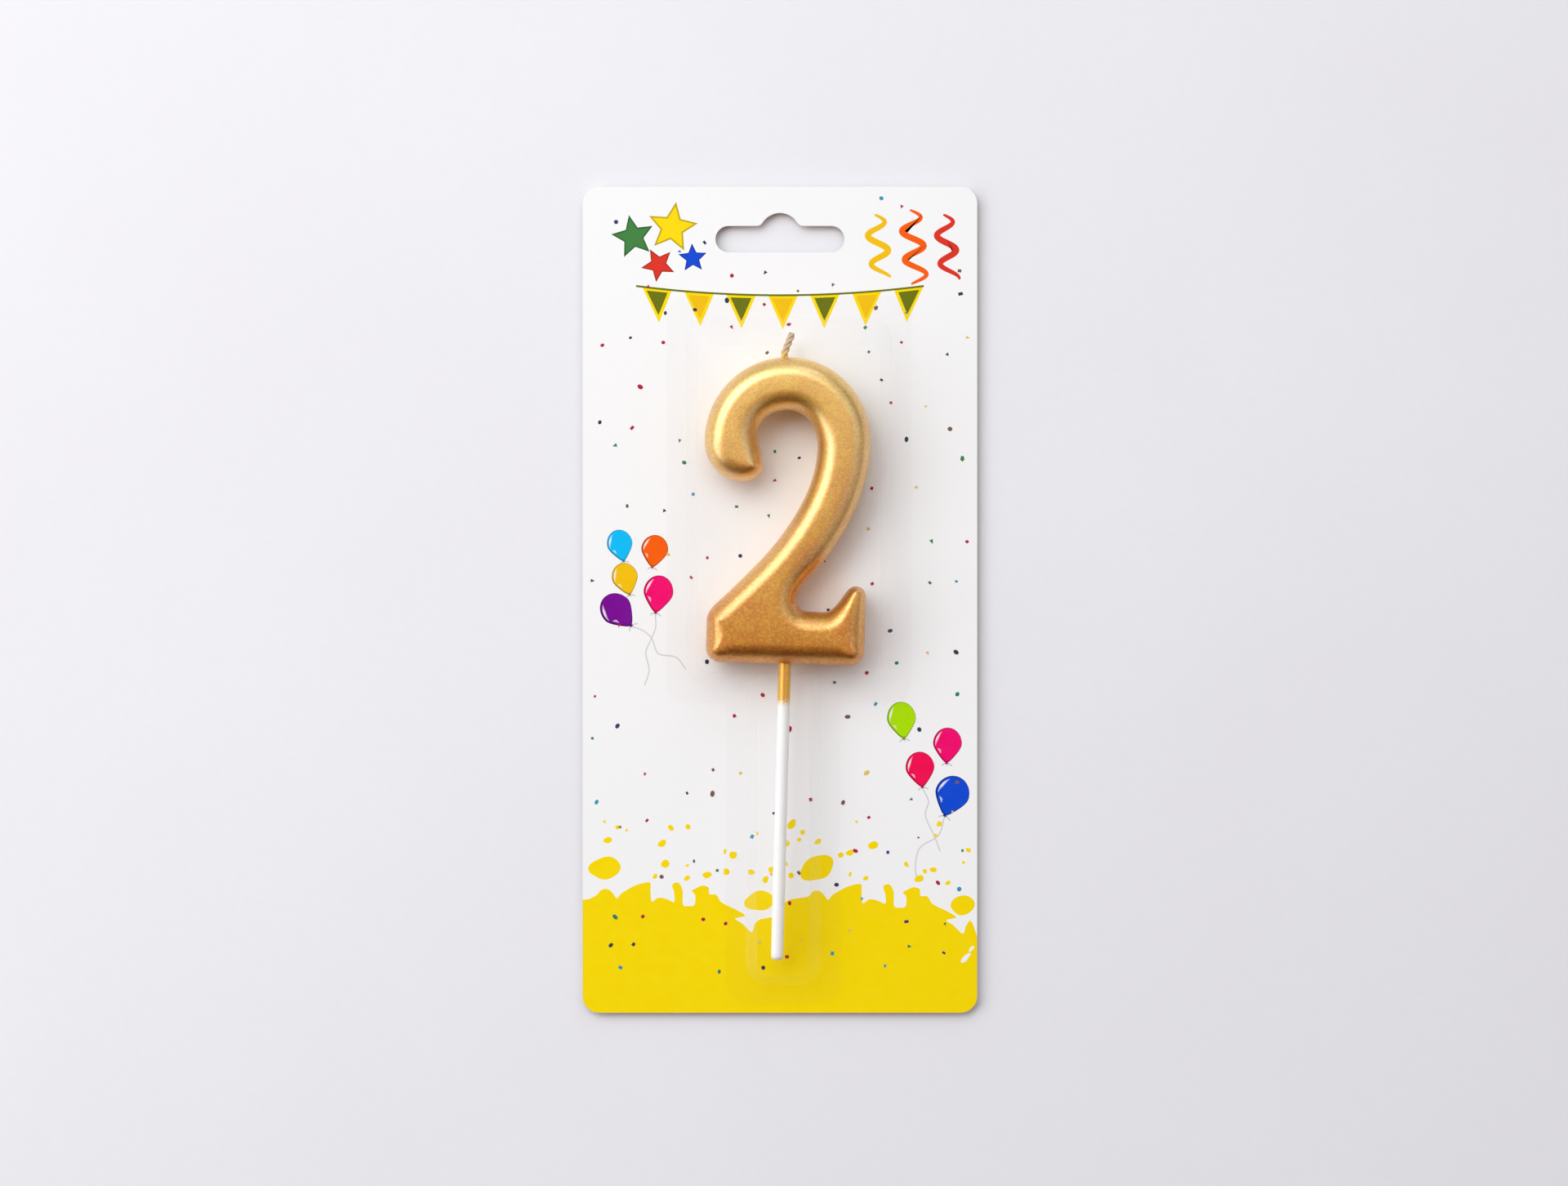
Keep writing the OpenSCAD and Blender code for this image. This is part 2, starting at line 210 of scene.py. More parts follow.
class StageSettings(bpy.types.PropertyGroup):
    """Floor, light and camera."""

    distance: length("Camera", "Camera above the card's front", 750)
    pixel: length("Pixel", "Size of a photo pixel on the card", 0.176)
    aim_x: length("Aim right", "Middle of the frame right of the card's middle", 0.88)
    aim_y: length("Aim up", "Middle of the frame above the card's middle", 1.45)
    drop: length("Drop", "Floor below the card's rear, which bows a little", 1.2)
    floor: colour("Floor", "Pale floor", 239, 239, 243)
    window: power("Window", "Power of the broad light at the upper left", 7.1)
    back: power("Back", "Power of the low light at the top", 0.95)
    side: power("Side", "Power of the wide dim light at the right", 3.1)
    west: power("West", "Power of the low light at the left", 2.8)
    key: power("Key", "Power of the light over the top", 1.7)
    world: amount("World", "Strength of the surroundings", 0.79)
    sky: colour("Sky", "Bright side of the surroundings, above the pack", 220, 243, 255)
    room: colour("Room", "Dim warm side of the surroundings, below the pack", 66, 36, 12)
    overhead: colour("Overhead", "Warm surroundings over the pack", 152, 85, 14)


GROUPS = {
    "candle_card": CardSettings,
    "candle_print": PrintSettings,
    "candle_figure": FigureSettings,
    "candle_pick": PickSettings,
    "candle_film": FilmSettings,
    "candle_stage": StageSettings,
}


# Meshes


def arc(turn, steps):
    """Angles from 0 to a turn, given in degrees, in even steps."""
    return [math.radians(turn * i / steps) for i in range(steps + 1)]


def circle(count):
    """Angles of evenly spaced points once round."""
    return [2 * math.pi * i / count for i in range(count)]


def turned(x, y, u, v, turn):
    """The point at an offset u, v from a middle x, y, with the offset turned."""
    c, s = math.cos(turn), math.sin(turn)
    return (x + u * c - v * s, y + u * s + v * c)


def solid_from(name, verts, faces):
    """A smooth-shaded mesh object from points and faces."""
    mesh = bpy.data.meshes.new(name)
    mesh.from_pydata([tuple(v) for v in verts], [], faces)
    mesh.validate()
    mesh.polygons.foreach_set("use_smooth", [True] * len(mesh.polygons))
    mesh.update()
    obj = bpy.data.objects.new(name, mesh)
    bpy.context.scene.collection.objects.link(obj)
    return obj


def lofted(rings, start=0):
    """Points and faces of a closed skin over rings of equal length, anticlockwise, lowest first."""
    n = len(rings[0])
    verts = [v for ring in rings for v in ring]
    faces = []
    for k in range(len(rings) - 1):
        a, b = start + k * n, start + (k + 1) * n
        for i in range(n):
            j = (i + 1) % n
            faces.append((a + i, a + j, b + j, b + i))
    faces.append(tuple(start + i for i in reversed(range(n))))
    faces.append(tuple(start + (len(rings) - 1) * n + i for i in range(n)))
    return verts, faces


def finished(obj, body, slot, *nodes):
    """Puts a piece on its body and hides the solids that it stands for. Its slot is not used."""
    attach(obj, body)
    if nodes:
        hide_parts(*nodes)
    return obj


def in_tray(scene):
    """The candle's own frame: the pick's axis is Y, and the foot stands on y = 0."""
    film, figure, card = scene.candle_film, scene.candle_figure, scene.candle_card
    return (
        Matrix.Translation((film.seat_x, film.seat_y, card.thickness + figure.depth / 2))
        @ Matrix.Rotation(-film.lean, 4, "Z")
        @ Matrix.Translation((0, -figure.height / 2, 0))
    )


# Shader nodes


# Most of a soft noise lies between these
NOISE_LOW = 0.3
NOISE_HIGH = 0.7


def feed(tree, node, values):
    """Sets a node's sockets, by name or number, to a value or to another node's output."""
    for key, value in values.items():
        if isinstance(value, bpy.types.NodeSocket):
            tree.links.new(value, node.inputs[key])
        else:
            node.inputs[key].default_value = value


def put(tree, kind, values=None, **settings):
    """Adds a shader node with its settings and the values of its sockets."""
    node = tree.nodes.new("ShaderNode" + kind)
    for key, value in settings.items():
        setattr(node, key, value)
    feed(tree, node, values or {})
    return node


def material(name):
    """A material with its node tree, its main shader and the place on the piece."""
    mat = bpy.data.materials.new(name)
    mat.use_nodes = True
    tree = mat.node_tree
    return mat, tree, tree.nodes["Principled BSDF"], put(tree, "TexCoord").outputs["Object"]


def rgba(c):
    """A colour with full cover."""
    return (c[0], c[1], c[2], 1)


def shade(c, share):
    """A share of a colour's light."""
    return tuple(v * share for v in c)


def raised(c, gain, lift):
    """A lighter colour."""
    return tuple(min(1, v * gain + lift) for v in c)


def mixed(tree, factor, a, b):
    """Mixes two colours."""
    a = a if isinstance(a, bpy.types.NodeSocket) else rgba(a)
    b = b if isinstance(b, bpy.types.NodeSocket) else rgba(b)
    return put(tree, "Mix", {0: factor, 6: a, 7: b}, data_type="RGBA").outputs[2]


def noise(tree, place, scale, detail=2.0, rough=0.5):
    """Soft noise, about 0.5 on average, with features about 1 / scale metres across."""
    values = {"Vector": place, "Scale": scale, "Detail": detail, "Roughness": rough}
    return put(tree, "TexNoise", values).outputs["Fac"]


def cells(tree, place, scale, output):
    """Small cells about 1 / scale metres across: the distance from their middles, or a colour for each."""
    return put(tree, "TexVoronoi", {"Vector": place, "Scale": scale}).outputs[output]


def stretched(tree, place, share):
    """A place shrunk along the card's height, so that a pattern on it is drawn out that way."""
    return put(tree, "Mapping", {"Vector": place, "Scale": (1, share, 1)}).outputs[0]


def stored(tree, name):
    """The number that a mesh keeps for each of its points."""
    return put(tree, "Attribute", attribute_name=name).outputs["Fac"]


def split(tree, way, axis):
    """One part, X, Y or Z, of a place or direction."""
    return put(tree, "SeparateXYZ", {0: way}).outputs[axis]


def ranged(tree, value, low, high, to_low=0.0, to_high=1.0):
    """Maps a value's range to another, clamped."""
    return put(tree, "MapRange", {0: value, 1: low, 2: high, 3: to_low, 4: to_high}).outputs[0]


def swing(tree, value, to_low=0.0, to_high=1.0):
    """Maps the usual range of a soft noise to another, clamped."""
    return ranged(tree, value, NOISE_LOW, NOISE_HIGH, to_low, to_high)


def maths(tree, operation, a, b):
    """One sum on two values."""
    return put(tree, "Math", {0: a, 1: b}, operation=operation).outputs[0]


def along(tree, way, axis):
    """How nearly a direction points along an axis, 1 at most."""
    return put(tree, "VectorMath", {0: way, 1: axis}, operation="DOT_PRODUCT").outputs["Value"]


def bumped(tree, shader, height, strength, distance, normal=None):
    """Raises a surface by a height pattern. distance is in metres."""
    values = {"Height": height, "Strength": strength, "Distance": distance}
    if normal is not None:
        values["Normal"] = normal
    bump = put(tree, "Bump", values).outputs[0]
    feed(tree, shader, {"Normal": bump})
    return bump


# Finishes


def ink_finish(name, hue):
    """Offset ink on coated board: slight mottle, fine dots and a soft gloss."""
    mat, tree, shader, place = material(name)
    mottle = noise(tree, place, 420, 3)
    screen = ranged(tree, cells(tree, place, 5200, "Distance"), 0.1, 0.7, 0.0, 0.1)
    light = mixed(tree, swing(tree, mottle, 0.0, 0.16), hue, raised(hue, 1.12, 0.012))
    feed(tree, shader, {
        "Base Color": mixed(tree, screen, light, shade(hue, 0.7)),
        "Roughness": swing(tree, mottle, 0.35, 0.47),
        "Specular IOR Level": 0.12,
    })
    bumped(tree, shader, noise(tree, place, 2600), 0.05, 0.00003)
    return mat


def board_finish(settings):
    """White coated front, cut paper edge and plain rear of the board."""
    mat, tree, shader, place = material("coated_board")
    board, core, plain = settings.board, settings.core, settings.rear
    facing = split(tree, place.node.outputs["Normal"], "Z")
    fibres = noise(tree, stretched(tree, place, 0.22), 2400, 4, 0.6)
    cloud = noise(tree, place, 55, 3)
    front = mixed(tree, swing(tree, cloud, 0.0, 0.35), board, shade(board, 0.965))
    front = mixed(tree, ranged(tree, fibres, 0.45, 0.75, 0.0, 0.1), front, shade(board, 0.9))
    flecks = ranged(tree, cells(tree, place, 900, "Distance"), 0.0, 0.16, 0.5, 0.0)
    rear = mixed(tree, ranged(tree, fibres, 0.35, 0.7), plain, shade(plain, 0.86))
    rear = mixed(tree, flecks, rear, shade(plain, 0.6))
    grain = {"Vector": place, "Scale": 2200.0, "Distortion": 4.0, "Detail": 2.0}
    layers = put(tree, "TexWave", grain, bands_direction="Z").outputs["Fac"]
    edge = mixed(tree, layers, core, shade(core, 0.82))
    side = mixed(tree, ranged(tree, facing, -0.6, -0.5), rear, edge)
    coated = ranged(tree, facing, 0.5, 0.6)
    feed(tree, shader, {
        "Base Color": mixed(tree, coated, side, front),
        "Roughness": put(tree, "Mix", {0: coated, 2: 0.85, 3: swing(tree, cloud, 0.38, 0.48)}).outputs[0],
        "Specular IOR Level": 0.42,
    })
    bumped(tree, shader, fibres, 0.08, 0.00005)
    return mat


def gold_finish(settings, foot):
    """Satin metallic lacquer with fine flakes over slightly uneven wax, with painted shade that deepens the
    colour towards the foot.
    """
    mat, tree, shader, place = material("gold_lacquer")
    gold, deep = settings.gold, settings.deep_gold
    tone = put(tree, "SeparateColor", {0: cells(tree, place, 2900, "Color")}).outputs[0]
    cloud = noise(tree, place, 130, 4, 0.6)
    sand = noise(tree, place, 1700, 3, 0.65)
    level = split(tree, place, "Y")
    # Painted shade: the deep gold's share grows from the top down to the foot, so the figure's lower part is
    # darker
    thick = ranged(tree, level, foot, foot + settings.height, 0.75, 0.0)
    depth = maths(tree, "ADD", swing(tree, cloud, 0.0, 0.4), thick)
    hue = mixed(tree, maths(tree, "MINIMUM", depth, 1.0), gold, deep)
    hue = mixed(tree, ranged(tree, tone, 0.5, 1.0, 0.0, 0.34), hue, raised(gold, 1.35, 0.03))
    hue = mixed(tree, ranged(tree, tone, 0.0, 0.4, 0.28, 0.0), hue, shade(deep, 0.62))
    feed(tree, shader, {
        "Base Color": hue,
        "Metallic": 1.0,
        "Roughness": ranged(tree, sand, 0.25, 0.75, 0.42, 0.53),
        "Coat Weight": ranged(tree, level, foot, foot + 0.7 * settings.height, 0.42, 0.96),
        "Coat Roughness": 0.35,
        "Coat IOR": 2.85,
    })
    wavy = bumped(tree, shader, noise(tree, place, 210), 0.12, 0.0004)
    bumped(tree, shader, maths(tree, "ADD", tone, sand), 0.11, 0.00006, wavy)
    return mat


def pick_finish(settings, gold):
    """White moulded plastic, with gold overspray that fades out below the foot."""
    mat, tree, shader, place = material("white_stick")
    cloud = noise(tree, place, 300, 3)
    spray = noise(tree, place, 2600, 3, 0.7)
    plain = mixed(tree, swing(tree, cloud, 0.0, 0.5), settings.white, shade(settings.white, 0.97))
    frayed = ranged(tree, spray, 0.25, 0.75, -0.0011, 0.0011)
    ragged = maths(tree, "ADD", stored(tree, "below_foot"), frayed)
    cover = ranged(tree, ragged, settings.overspray - 0.0007, settings.overspray + 0.0009, 1.0, 0.0)
    coat = mixed(tree, swing(tree, spray), settings.copper, gold.gold)
    feed(tree, shader, {
        "Base Color": mixed(tree, cover, plain, coat),
        "Metallic": maths(tree, "MULTIPLY", cover, 0.6),
        "Roughness": swing(tree, cloud, 0.32, 0.42),
        "Subsurface Weight": 0.7,
        "Subsurface Radius": (1.0, 1.0, 1.0),
        "Subsurface Scale": 0.0012,
    })
    bumped(tree, shader, spray, 0.05, 0.00004)
    return mat


def cotton_finish(settings, gold):
    """Waxed cotton, with painted shade in the grooves of its twist, and gold at its root."""
    mat, tree, shader, place = material("waxed_cotton")
    fibre = noise(tree, stretched(tree, place, 0.3), 5200, 3, 0.7)
    hue = mixed(tree, swing(tree, fibre, 0.0, 0.4), settings.cotton, shade(settings.cotton, 0.7))
    # Painted shade: the grooves between the strands get the dark groove colour
    hue = mixed(tree, ranged(tree, stored(tree, "groove"), 0.25, 0.85), hue, settings.groove)
    dusted = maths(tree, "ADD", stored(tree, "rise"), swing(tree, fibre, -0.0006, 0.0006))
    root = ranged(tree, dusted, 0.0004, 0.0016, 0.5, 0.0)
    feed(tree, shader, {
        "Base Color": mixed(tree, root, hue, gold.gold),
        "Metallic": maths(tree, "MULTIPLY", root, 0.7),
        "Roughness": swing(tree, fibre, 0.55, 0.8),
        "Sheen Weight": 0.25,
    })
    bumped(tree, shader, fibre, 0.4, 0.00006)
    return mat


def film_finish():
    """Clear thermoformed film: lets light through and mirrors a little, more at a slant."""
    mat, tree, shader, place = material("clear_film")
    feed(tree, shader, {
        "Base Color": (0.7, 0.71, 0.72, 1),
        "IOR": 1.5,
        "Roughness": swing(tree, noise(tree, place, 900, 3), 0.06, 0.13),
    })
    ripple = bumped(tree, shader, noise(tree, place, 70), 0.12, 0.0004)
    clear = put(tree, "BsdfTransparent", {"Color": (0.997, 0.996, 0.996, 1)}).outputs[0]
    slant = put(tree, "LayerWeight", {"Blend": 0.3, "Normal": ripple}).outputs["Fresnel"]
    cover = ranged(tree, slant, 0.18, 1.0, 0.002, 0.06)
    join = put(tree, "MixShader", {0: cover, 1: clear, 2: shader.outputs[0]}).outputs[0]
    feed(tree, tree.nodes["Material Output"], {"Surface": join})
    return mat


def floor_finish(settings):
    """Pale smooth floor with a faint cloudy tone."""
    mat, tree, shader, place = material("pale_floor")
    dim = tuple(c * share for c, share in zip(settings.floor, (0.95, 0.935, 0.95)))
    hue = mixed(tree, swing(tree, noise(tree, place, 7, 4, 0.55), 0.0, 0.6), settings.floor, dim)
    hue = mixed(tree, swing(tree, noise(tree, place, 500, 3), 0.0, 0.12), hue, shade(settings.floor, 0.9))
    feed(tree, shader, {"Base Color": hue, "Roughness": 0.85, "Specular IOR Level": 0.15})
    return mat


# Figure two


# Lesser sizes of the outline: the hollow over the foot, the tail's upper side, the hook's end, the inside of
# the bowl and the left shoulder. The ways are directions of the outline in degrees
HOLLOW_X = 2.2 * MM
TAIL_NECK = 3.2 * MM
TAIL_SAG = 0.2 * MM
TAIL_RUN = 6.8 * MM
TAIL_WAY = 232
WAIST_FLARE = 3
HOOK_LOWEST = 0.72
HOOK_RISE = 3.6 * MM
HOOK_WAY = 91
INSIDE_LEFT = 1.4 * MM
INSIDE_RIGHT = 1 * MM
SHOULDER_IN = 3.6 * MM
SHOULDER_UP = 5.3 * MM
SHOULDER_WAY = 225
# Longest step and widest turn from one point of the outline to the next
OUTLINE_STEP = 0.7 * MM
OUTLINE_TURN = math.radians(4)
# Share of the room inside the outline that the rounded edge may take, and the rounds that even out its reach
EDGE_ROOM = 0.9
EDGE_ROUNDS = 12
# Steps of the rounded edge, the first one used, and half the height of the parting line's foot
EDGE_STEPS = 18
EDGE_FIRST = 2
SEAM_HALF = 0.18 * MM
# A point that lies less than this inside the tangent line sets no limit to the rounded edge
TANGENT = 1e-6


def reach(a, b):
    """Handle length of a smooth span that leaves its chord at angle a and meets it at angle b."""
    sa, sb, ca, cb = math.sin(a), math.sin(b), math.cos(a), math.cos(b)
    top = 2 + math.sqrt(2) * (sa - sb / 16) * (sb - sa / 16) * (ca - cb)
    return top / (3 * (1 + 0.5 * (math.sqrt(5) - 1) * ca + 0.5 * (3 - math.sqrt(5)) * cb))


def wrapped(a):
    """An angle between half a turn each way."""
    return (a + math.pi) % (2 * math.pi) - math.pi


def span(k, m, step, turn):
    """Points along one span between two knots, each with its inward normal."""
    p, q = np.array(k[:2]), np.array(m[:2])
    ka, ma = math.radians(k[2]), math.radians(m[2])
    chord = np.linalg.norm(q - p)
    aim = math.atan2(q[1] - p[1], q[0] - p[0])
    a, b = wrapped(ka - aim), wrapped(aim - ma)
    ph = p + np.array((math.cos(ka), math.sin(ka))) * chord * reach(a, b)
    qh = q - np.array((math.cos(ma), math.sin(ma))) * chord * reach(b, a)
    count = max(math.ceil(chord / step), math.ceil((abs(a) + abs(b)) / turn))
    out = []
    for i in range(count):
        t = i / count
        v = p * (1 - t) ** 3 + ph * 3 * t * (1 - t) ** 2 + qh * 3 * t * t * (1 - t) + q * t**3
        g = (ph - p) * (1 - t) ** 2 + (qh - ph) * 2 * t * (1 - t) + (q - qh) * t * t
        g /= np.linalg.norm(g)
        out.append((v[0], v[1], -g[1], g[0]))
    return out


def figure_outline(f):
    """Closed outline of the figure, anticlockwise from the foot's lower left corner."""
    bowl_y = f.height - f.bowl_drop
    left, right = f.bowl_shift - f.bowl_width / 2, f.bowl_shift + f.bowl_width / 2
    half = f.foot_width / 2
    slope = math.degrees(f.waist_angle)
    out_x = f.waist_x + f.waist * math.sin(f.waist_angle)
    out_y = f.waist_y - f.waist * math.cos(f.waist_angle)
    knots = [
        (-half + f.foot_corner, 0, 0),
        (half - f.foot_corner, 0, 0),
        (half, f.foot_corner, 90),
        (half, f.tail - f.tail_half, 90),
        (half - f.tail_half, f.tail, 180),
        (half - f.tail_half - TAIL_NECK, (f.tail + f.foot_height) / 2 - TAIL_SAG, TAIL_WAY),
        (half - f.tail_half - TAIL_RUN, f.foot_height, 180),
        (HOLLOW_X + f.crotch, f.foot_height, 180),
        (HOLLOW_X, f.foot_height + f.crotch, 90),
        (out_x, out_y, slope - WAIST_FLARE),
        (right, bowl_y, 90),
        (f.bowl_shift, f.height, 180),
        (left, bowl_y, 270),
        (left + f.stroke * HOOK_LOWEST, bowl_y - f.hook_drop, 0),
        (left + f.hook_width, bowl_y - f.hook_drop + HOOK_RISE, HOOK_WAY),
        (left + f.stroke, bowl_y + INSIDE_LEFT, 90),
        (f.bowl_shift, f.height - f.stroke, 0),
        (right - f.stroke, bowl_y - INSIDE_RIGHT, 270),
        (f.waist_x, f.waist_y, slope + 180),
        (-half + SHOULDER_IN, f.shoulder + SHOULDER_UP, SHOULDER_WAY),
        (-half, f.shoulder, 270),
        (-half, f.foot_corner, 270),
    ]
    points = []
    for k, m in zip(knots, knots[1:] + knots[:1]):
        points += span(k, m, OUTLINE_STEP, OUTLINE_TURN)
    return np.array(points)


def figure_rings(f):
    """Rings of the figure from its rear to its front, narrowing along the rounded edge."""
    line = figure_outline(f)
    p, w = line[:, :2], line[:, 2:]
    gap = p[None, :, :] - p[:, None, :]
    lean = (gap * w[:, None, :]).sum(axis=2)
    with np.errstate(divide="ignore", invalid="ignore"):
        room = np.where(lean > TANGENT, (gap**2).sum(axis=2) / (2 * lean), np.inf).min(axis=1)
    inset = np.minimum(f.bevel, EDGE_ROOM * room)
    for _ in range(EDGE_ROUNDS):
        inset = np.minimum(inset, (np.roll(inset, 1) + 2 * inset + np.roll(inset, -1)) / 4)
    bend = 2 / f.fullness
    turns = arc(90, EDGE_STEPS)[EDGE_FIRST:]
    half = [(1 - math.cos(t) ** bend, math.sin(t) ** bend * f.depth / 2) for t in turns]
    steps = [(d, -z) for d, z in reversed(half)]
    steps += [(0.0, -SEAM_HALF), (-f.seam, 0.0), (0.0, SEAM_HALF)]
    steps += half
    rings = []
    for d, z in steps:
        move = np.full(len(p), d) if d < 0 else inset * d
        rings.append([(x, y, z) for x, y in p + w * move[:, None]])
    return rings


class CANDLE_OT_figure(bpy.types.Operator):
    """Builds the wax figure two with its rounded edges and parting line"""

    bl_idname = "candle.figure"
    bl_label = "Wax figure"

    def execute(self, context):
        f = context.scene.candle_figure
        obj = solid_from("figure_two", *lofted(figure_rings(f)))
        obj.data.transform(in_tray(context.scene))
        foot = context.scene.candle_film.seat_y - f.height / 2
        obj.data.materials.append(gold_finish(f, foot))
        finished(obj, "candle", "gold_wax", "numeral_body")
        return {"FINISHED"}


# Pick and wick


# Points round the pick, steps in the wax and below it, and the height of its mould lines and small bevel
PICK_SIDES = 40
PICK_IN_STEPS = 10
PICK_OUT_STEPS = 60
MOULD_LINE = 0.035 * MM
PICK_BEVEL = 0.1 * MM
# Steps of the pick's round tip. A full quarter takes a little more, so that the tip ends in a small flat
TIP_STEPS = 8
TIP_QUARTER = 8.4
# Steps of the wick in the wax, round its bend and along its free end
WICK_IN_STEPS = 12
WICK_BEND_STEPS = 12
WICK_OUT_STEPS = 26
# Strands of the wick: their number, points round each, and offset and radius as shares of the wick's radius
STRANDS = 3
STRAND_SIDES = 14
STRAND_OFFSET = 0.47
STRAND_RADIUS = 0.53
# Size of a strand's last rings, from its end
FRAYED = (0.75, 0.9, 0.97)
# Share of the wick's radius where the painted shade of a groove starts, and over which it deepens
GROOVE_START = 0.86
GROOVE_REACH = 0.42


def set_values(obj, name, values):
    """Stores one number for each point, for a material to read."""
    layer = obj.data.attributes.new(name, "FLOAT", "POINT")
    layer.data.foreach_set("value", values)


class CANDLE_OT_pick(bpy.types.Operator):
    """Builds the white plastic pick with its mould lines and rounded end"""

    bl_idname = "candle.pick"
    bl_label = "Pick"

    def execute(self, context):
        s, f = context.scene.candle_pick, context.scene.candle_figure
        radius, tip = s.pick / 2, s.pick_tip
        stops = [(s.pick_in, radius - PICK_BEVEL), (s.pick_in - PICK_BEVEL, radius)]
        stops += [(s.pick_in * (1 - i / PICK_IN_STEPS), radius) for i in range(1, PICK_IN_STEPS + 1)]
        body = s.pick_out - tip
        stops += [(-body * i / PICK_OUT_STEPS, radius) for i in range(1, PICK_OUT_STEPS + 1)]
        for i in range(1, TIP_STEPS + 1):
            a = math.radians(90 * i / TIP_QUARTER)
            stops.append((-body - tip * math.sin(a), radius - tip * (1 - math.cos(a))))
        rings = []
        for y, r in stops:
            ring = []
            for i, a in enumerate(circle(PICK_SIDES)):
                on_line = y < 0 and i % (PICK_SIDES // 2) == 0
                out = r + MOULD_LINE if on_line else r
                ring.append((out * math.cos(a), y, out * math.sin(a)))
            rings.append(ring)
        verts, faces = lofted(rings)
        obj = solid_from("pick_stick", verts, faces)
        set_values(obj, "below_foot", [-v[1] for v in verts])
        obj.data.transform(in_tray(context.scene))
        obj.data.materials.append(pick_finish(s, f))
        finished(obj, "candle", "white_plastic", "pick")
        return {"FINISHED"}


def wick_path(s, height):
    """Points up the middle of the wick, each with its direction."""
    bend, lean = s.wick_bend, s.wick_lean
    straight = (s.wick_rise - bend * math.sin(lean)) / math.cos(lean)
    side = Vector((math.cos(s.wick_turn), 0, -math.sin(s.wick_turn)))
    up = Vector((0, 1, 0))
    root = Vector((s.wick_x, height, 0))
    out = [(root - up * s.wick_in * (1 - i / WICK_IN_STEPS), up) for i in range(WICK_IN_STEPS)]
    for i in range(WICK_BEND_STEPS + 1):
        a = lean * i / WICK_BEND_STEPS
        spot = root + up * bend * math.sin(a) + side * bend * (1 - math.cos(a))
        out.append((spot, up * math.cos(a) + side * math.sin(a)))
    end, way = out[-1]
    out += [(end + way * straight * i / WICK_OUT_STEPS, way) for i in range(1, WICK_OUT_STEPS + 1)]
    return out


class CANDLE_OT_wick(bpy.types.Operator):
    """Builds the wick as three twisted cotton strands with a frayed end"""

    bl_idname = "candle.wick"
    bl_label = "Wick"

    def execute(self, context):
        s, f = context.scene.candle_pick, context.scene.candle_figure
        path = wick_path(s, f.height)
        thick = s.wick / 2
        verts, faces, groove_shades, rises = [], [], [], []
        for k in range(STRANDS):
            rings, run = [], 0.0
            for i, (mid, way) in enumerate(path):
                run += (mid - path[i - 1][0]).length if i else 0
                one = way.cross(Vector((0, 0, 1))).normalized()
                two = way.cross(one).normalized()
                a = 2 * math.pi * (run / s.wick_pitch + k / STRANDS)
                core = mid + (one * math.cos(a) + two * math.sin(a)) * (thick * STRAND_OFFSET)
                left = len(path) - 1 - i
                size = thick * STRAND_RADIUS * (FRAYED[left] if left < len(FRAYED) else 1)
                ring = []
                for b in circle(STRAND_SIDES):
                    spot = core + (one * math.cos(b) + two * math.sin(b)) * size
                    ring.append(tuple(spot))
                    depth = (spot - mid).length / thick
                    # Painted shade: the deeper a point lies between the strands, the more of the dark groove
                    # colour it gets
                    groove_shades.append(min(1, max(0, (GROOVE_START - depth) / GROOVE_REACH)))
                    rises.append(spot.y - f.height)
                rings.append(ring)
            strand_verts, strand_faces = lofted(rings, len(verts))
            verts += strand_verts
            faces += strand_faces
        obj = solid_from("wick_twist", verts, faces)
        set_values(obj, "groove", groove_shades)
        set_values(obj, "rise", rises)
        obj.data.transform(in_tray(context.scene))
        obj.data.materials.append(cotton_finish(s, f))
        finished(obj, "candle", "cotton", "wick")
        return {"FINISHED"}


# Blister


# Level to which the pockets' forms reach below the card's front before they are joined and cut
SUNK = -1 * MM
# Growth of a corner's radius from the pocket's front to the card, and the share of the edge that rounds it
CORNER_SPREAD = 1 * MM
EDGE_CORNER = 0.8
# Steps round a corner, over the fillet at the flange, up the wall and over the front's edge
CORNER_STEPS = 9
FILLET_STEPS = 6
WALL_STEPS = 5
FRONT_STEPS = 8
# The fillet stops short of a quarter, where it meets the sloping wall. Degrees
FILLET_TURN = 76
# Faces this far below the flange's top are cut away, and points this close are joined
CUT_BELOW = 0.001 * MM
JOIN_WITHIN = 0.002 * MM
# Edges over this angle stay crisp. Degrees
CRISP = 35


def grown(box, by):
    """A box moved outwards by an amount on each side. Its sides are left, right, foot and top."""
    return (box[0] - by[0], box[1] + by[1], box[2] - by[2], box[3] + by[3])


def round_ring(box, radius, z):
    """A box with round corners as points, anticlockwise."""
    left, right, foot, top = grown(box, [-radius] * 4)
    out = []
    for x, y, turn in ((right, top, 0), (left, top, 90), (left, foot, 180), (right, foot, 270)):
        for i in range(CORNER_STEPS + 1):
            a = math.radians(turn + 90 * i / CORNER_STEPS)
            out.append((x + radius * math.cos(a), y + radius * math.sin(a), z))
    return out


def pocket(name, box, spread, height, film):
    """One drawn pocket as a closed form, with a fillet at the flange and a rounded front."""
    t, fillet, edge = film.thickness + film.clear, film.fillet, film.edge
    rings = []

    def ring(z, extra):
        """Adds a ring of the sloping wall, moved outwards by an extra amount."""
        share = 1 - z / height
        outline = grown(box, [s * share + extra for s in spread])
        rings.append(round_ring(outline, film.corner + CORNER_SPREAD * share + extra, z))

    first = grown(box, [s * (1 - t / height) + fillet for s in spread])
    rings.append(round_ring(first, film.corner + CORNER_SPREAD + fillet, SUNK))
    for a in arc(FILLET_TURN, FILLET_STEPS):
        ring(t + fillet * (1 - math.cos(a)), fillet * (1 - math.sin(a)))
    start, crown = rings[-1][0][2], height - edge
    for i in range(1, WALL_STEPS):
        ring(start + (crown - start) * i / WALL_STEPS, 0)
    for a in arc(90, FRONT_STEPS):
        pull = edge * (1 - math.cos(a))
        outline = grown(box, [s * (1 - crown / height) - pull for s in spread])
        rings.append(round_ring(outline, film.corner - pull * EDGE_CORNER, crown + edge * math.sin(a)))
    return solid_from(name, *lofted(rings))


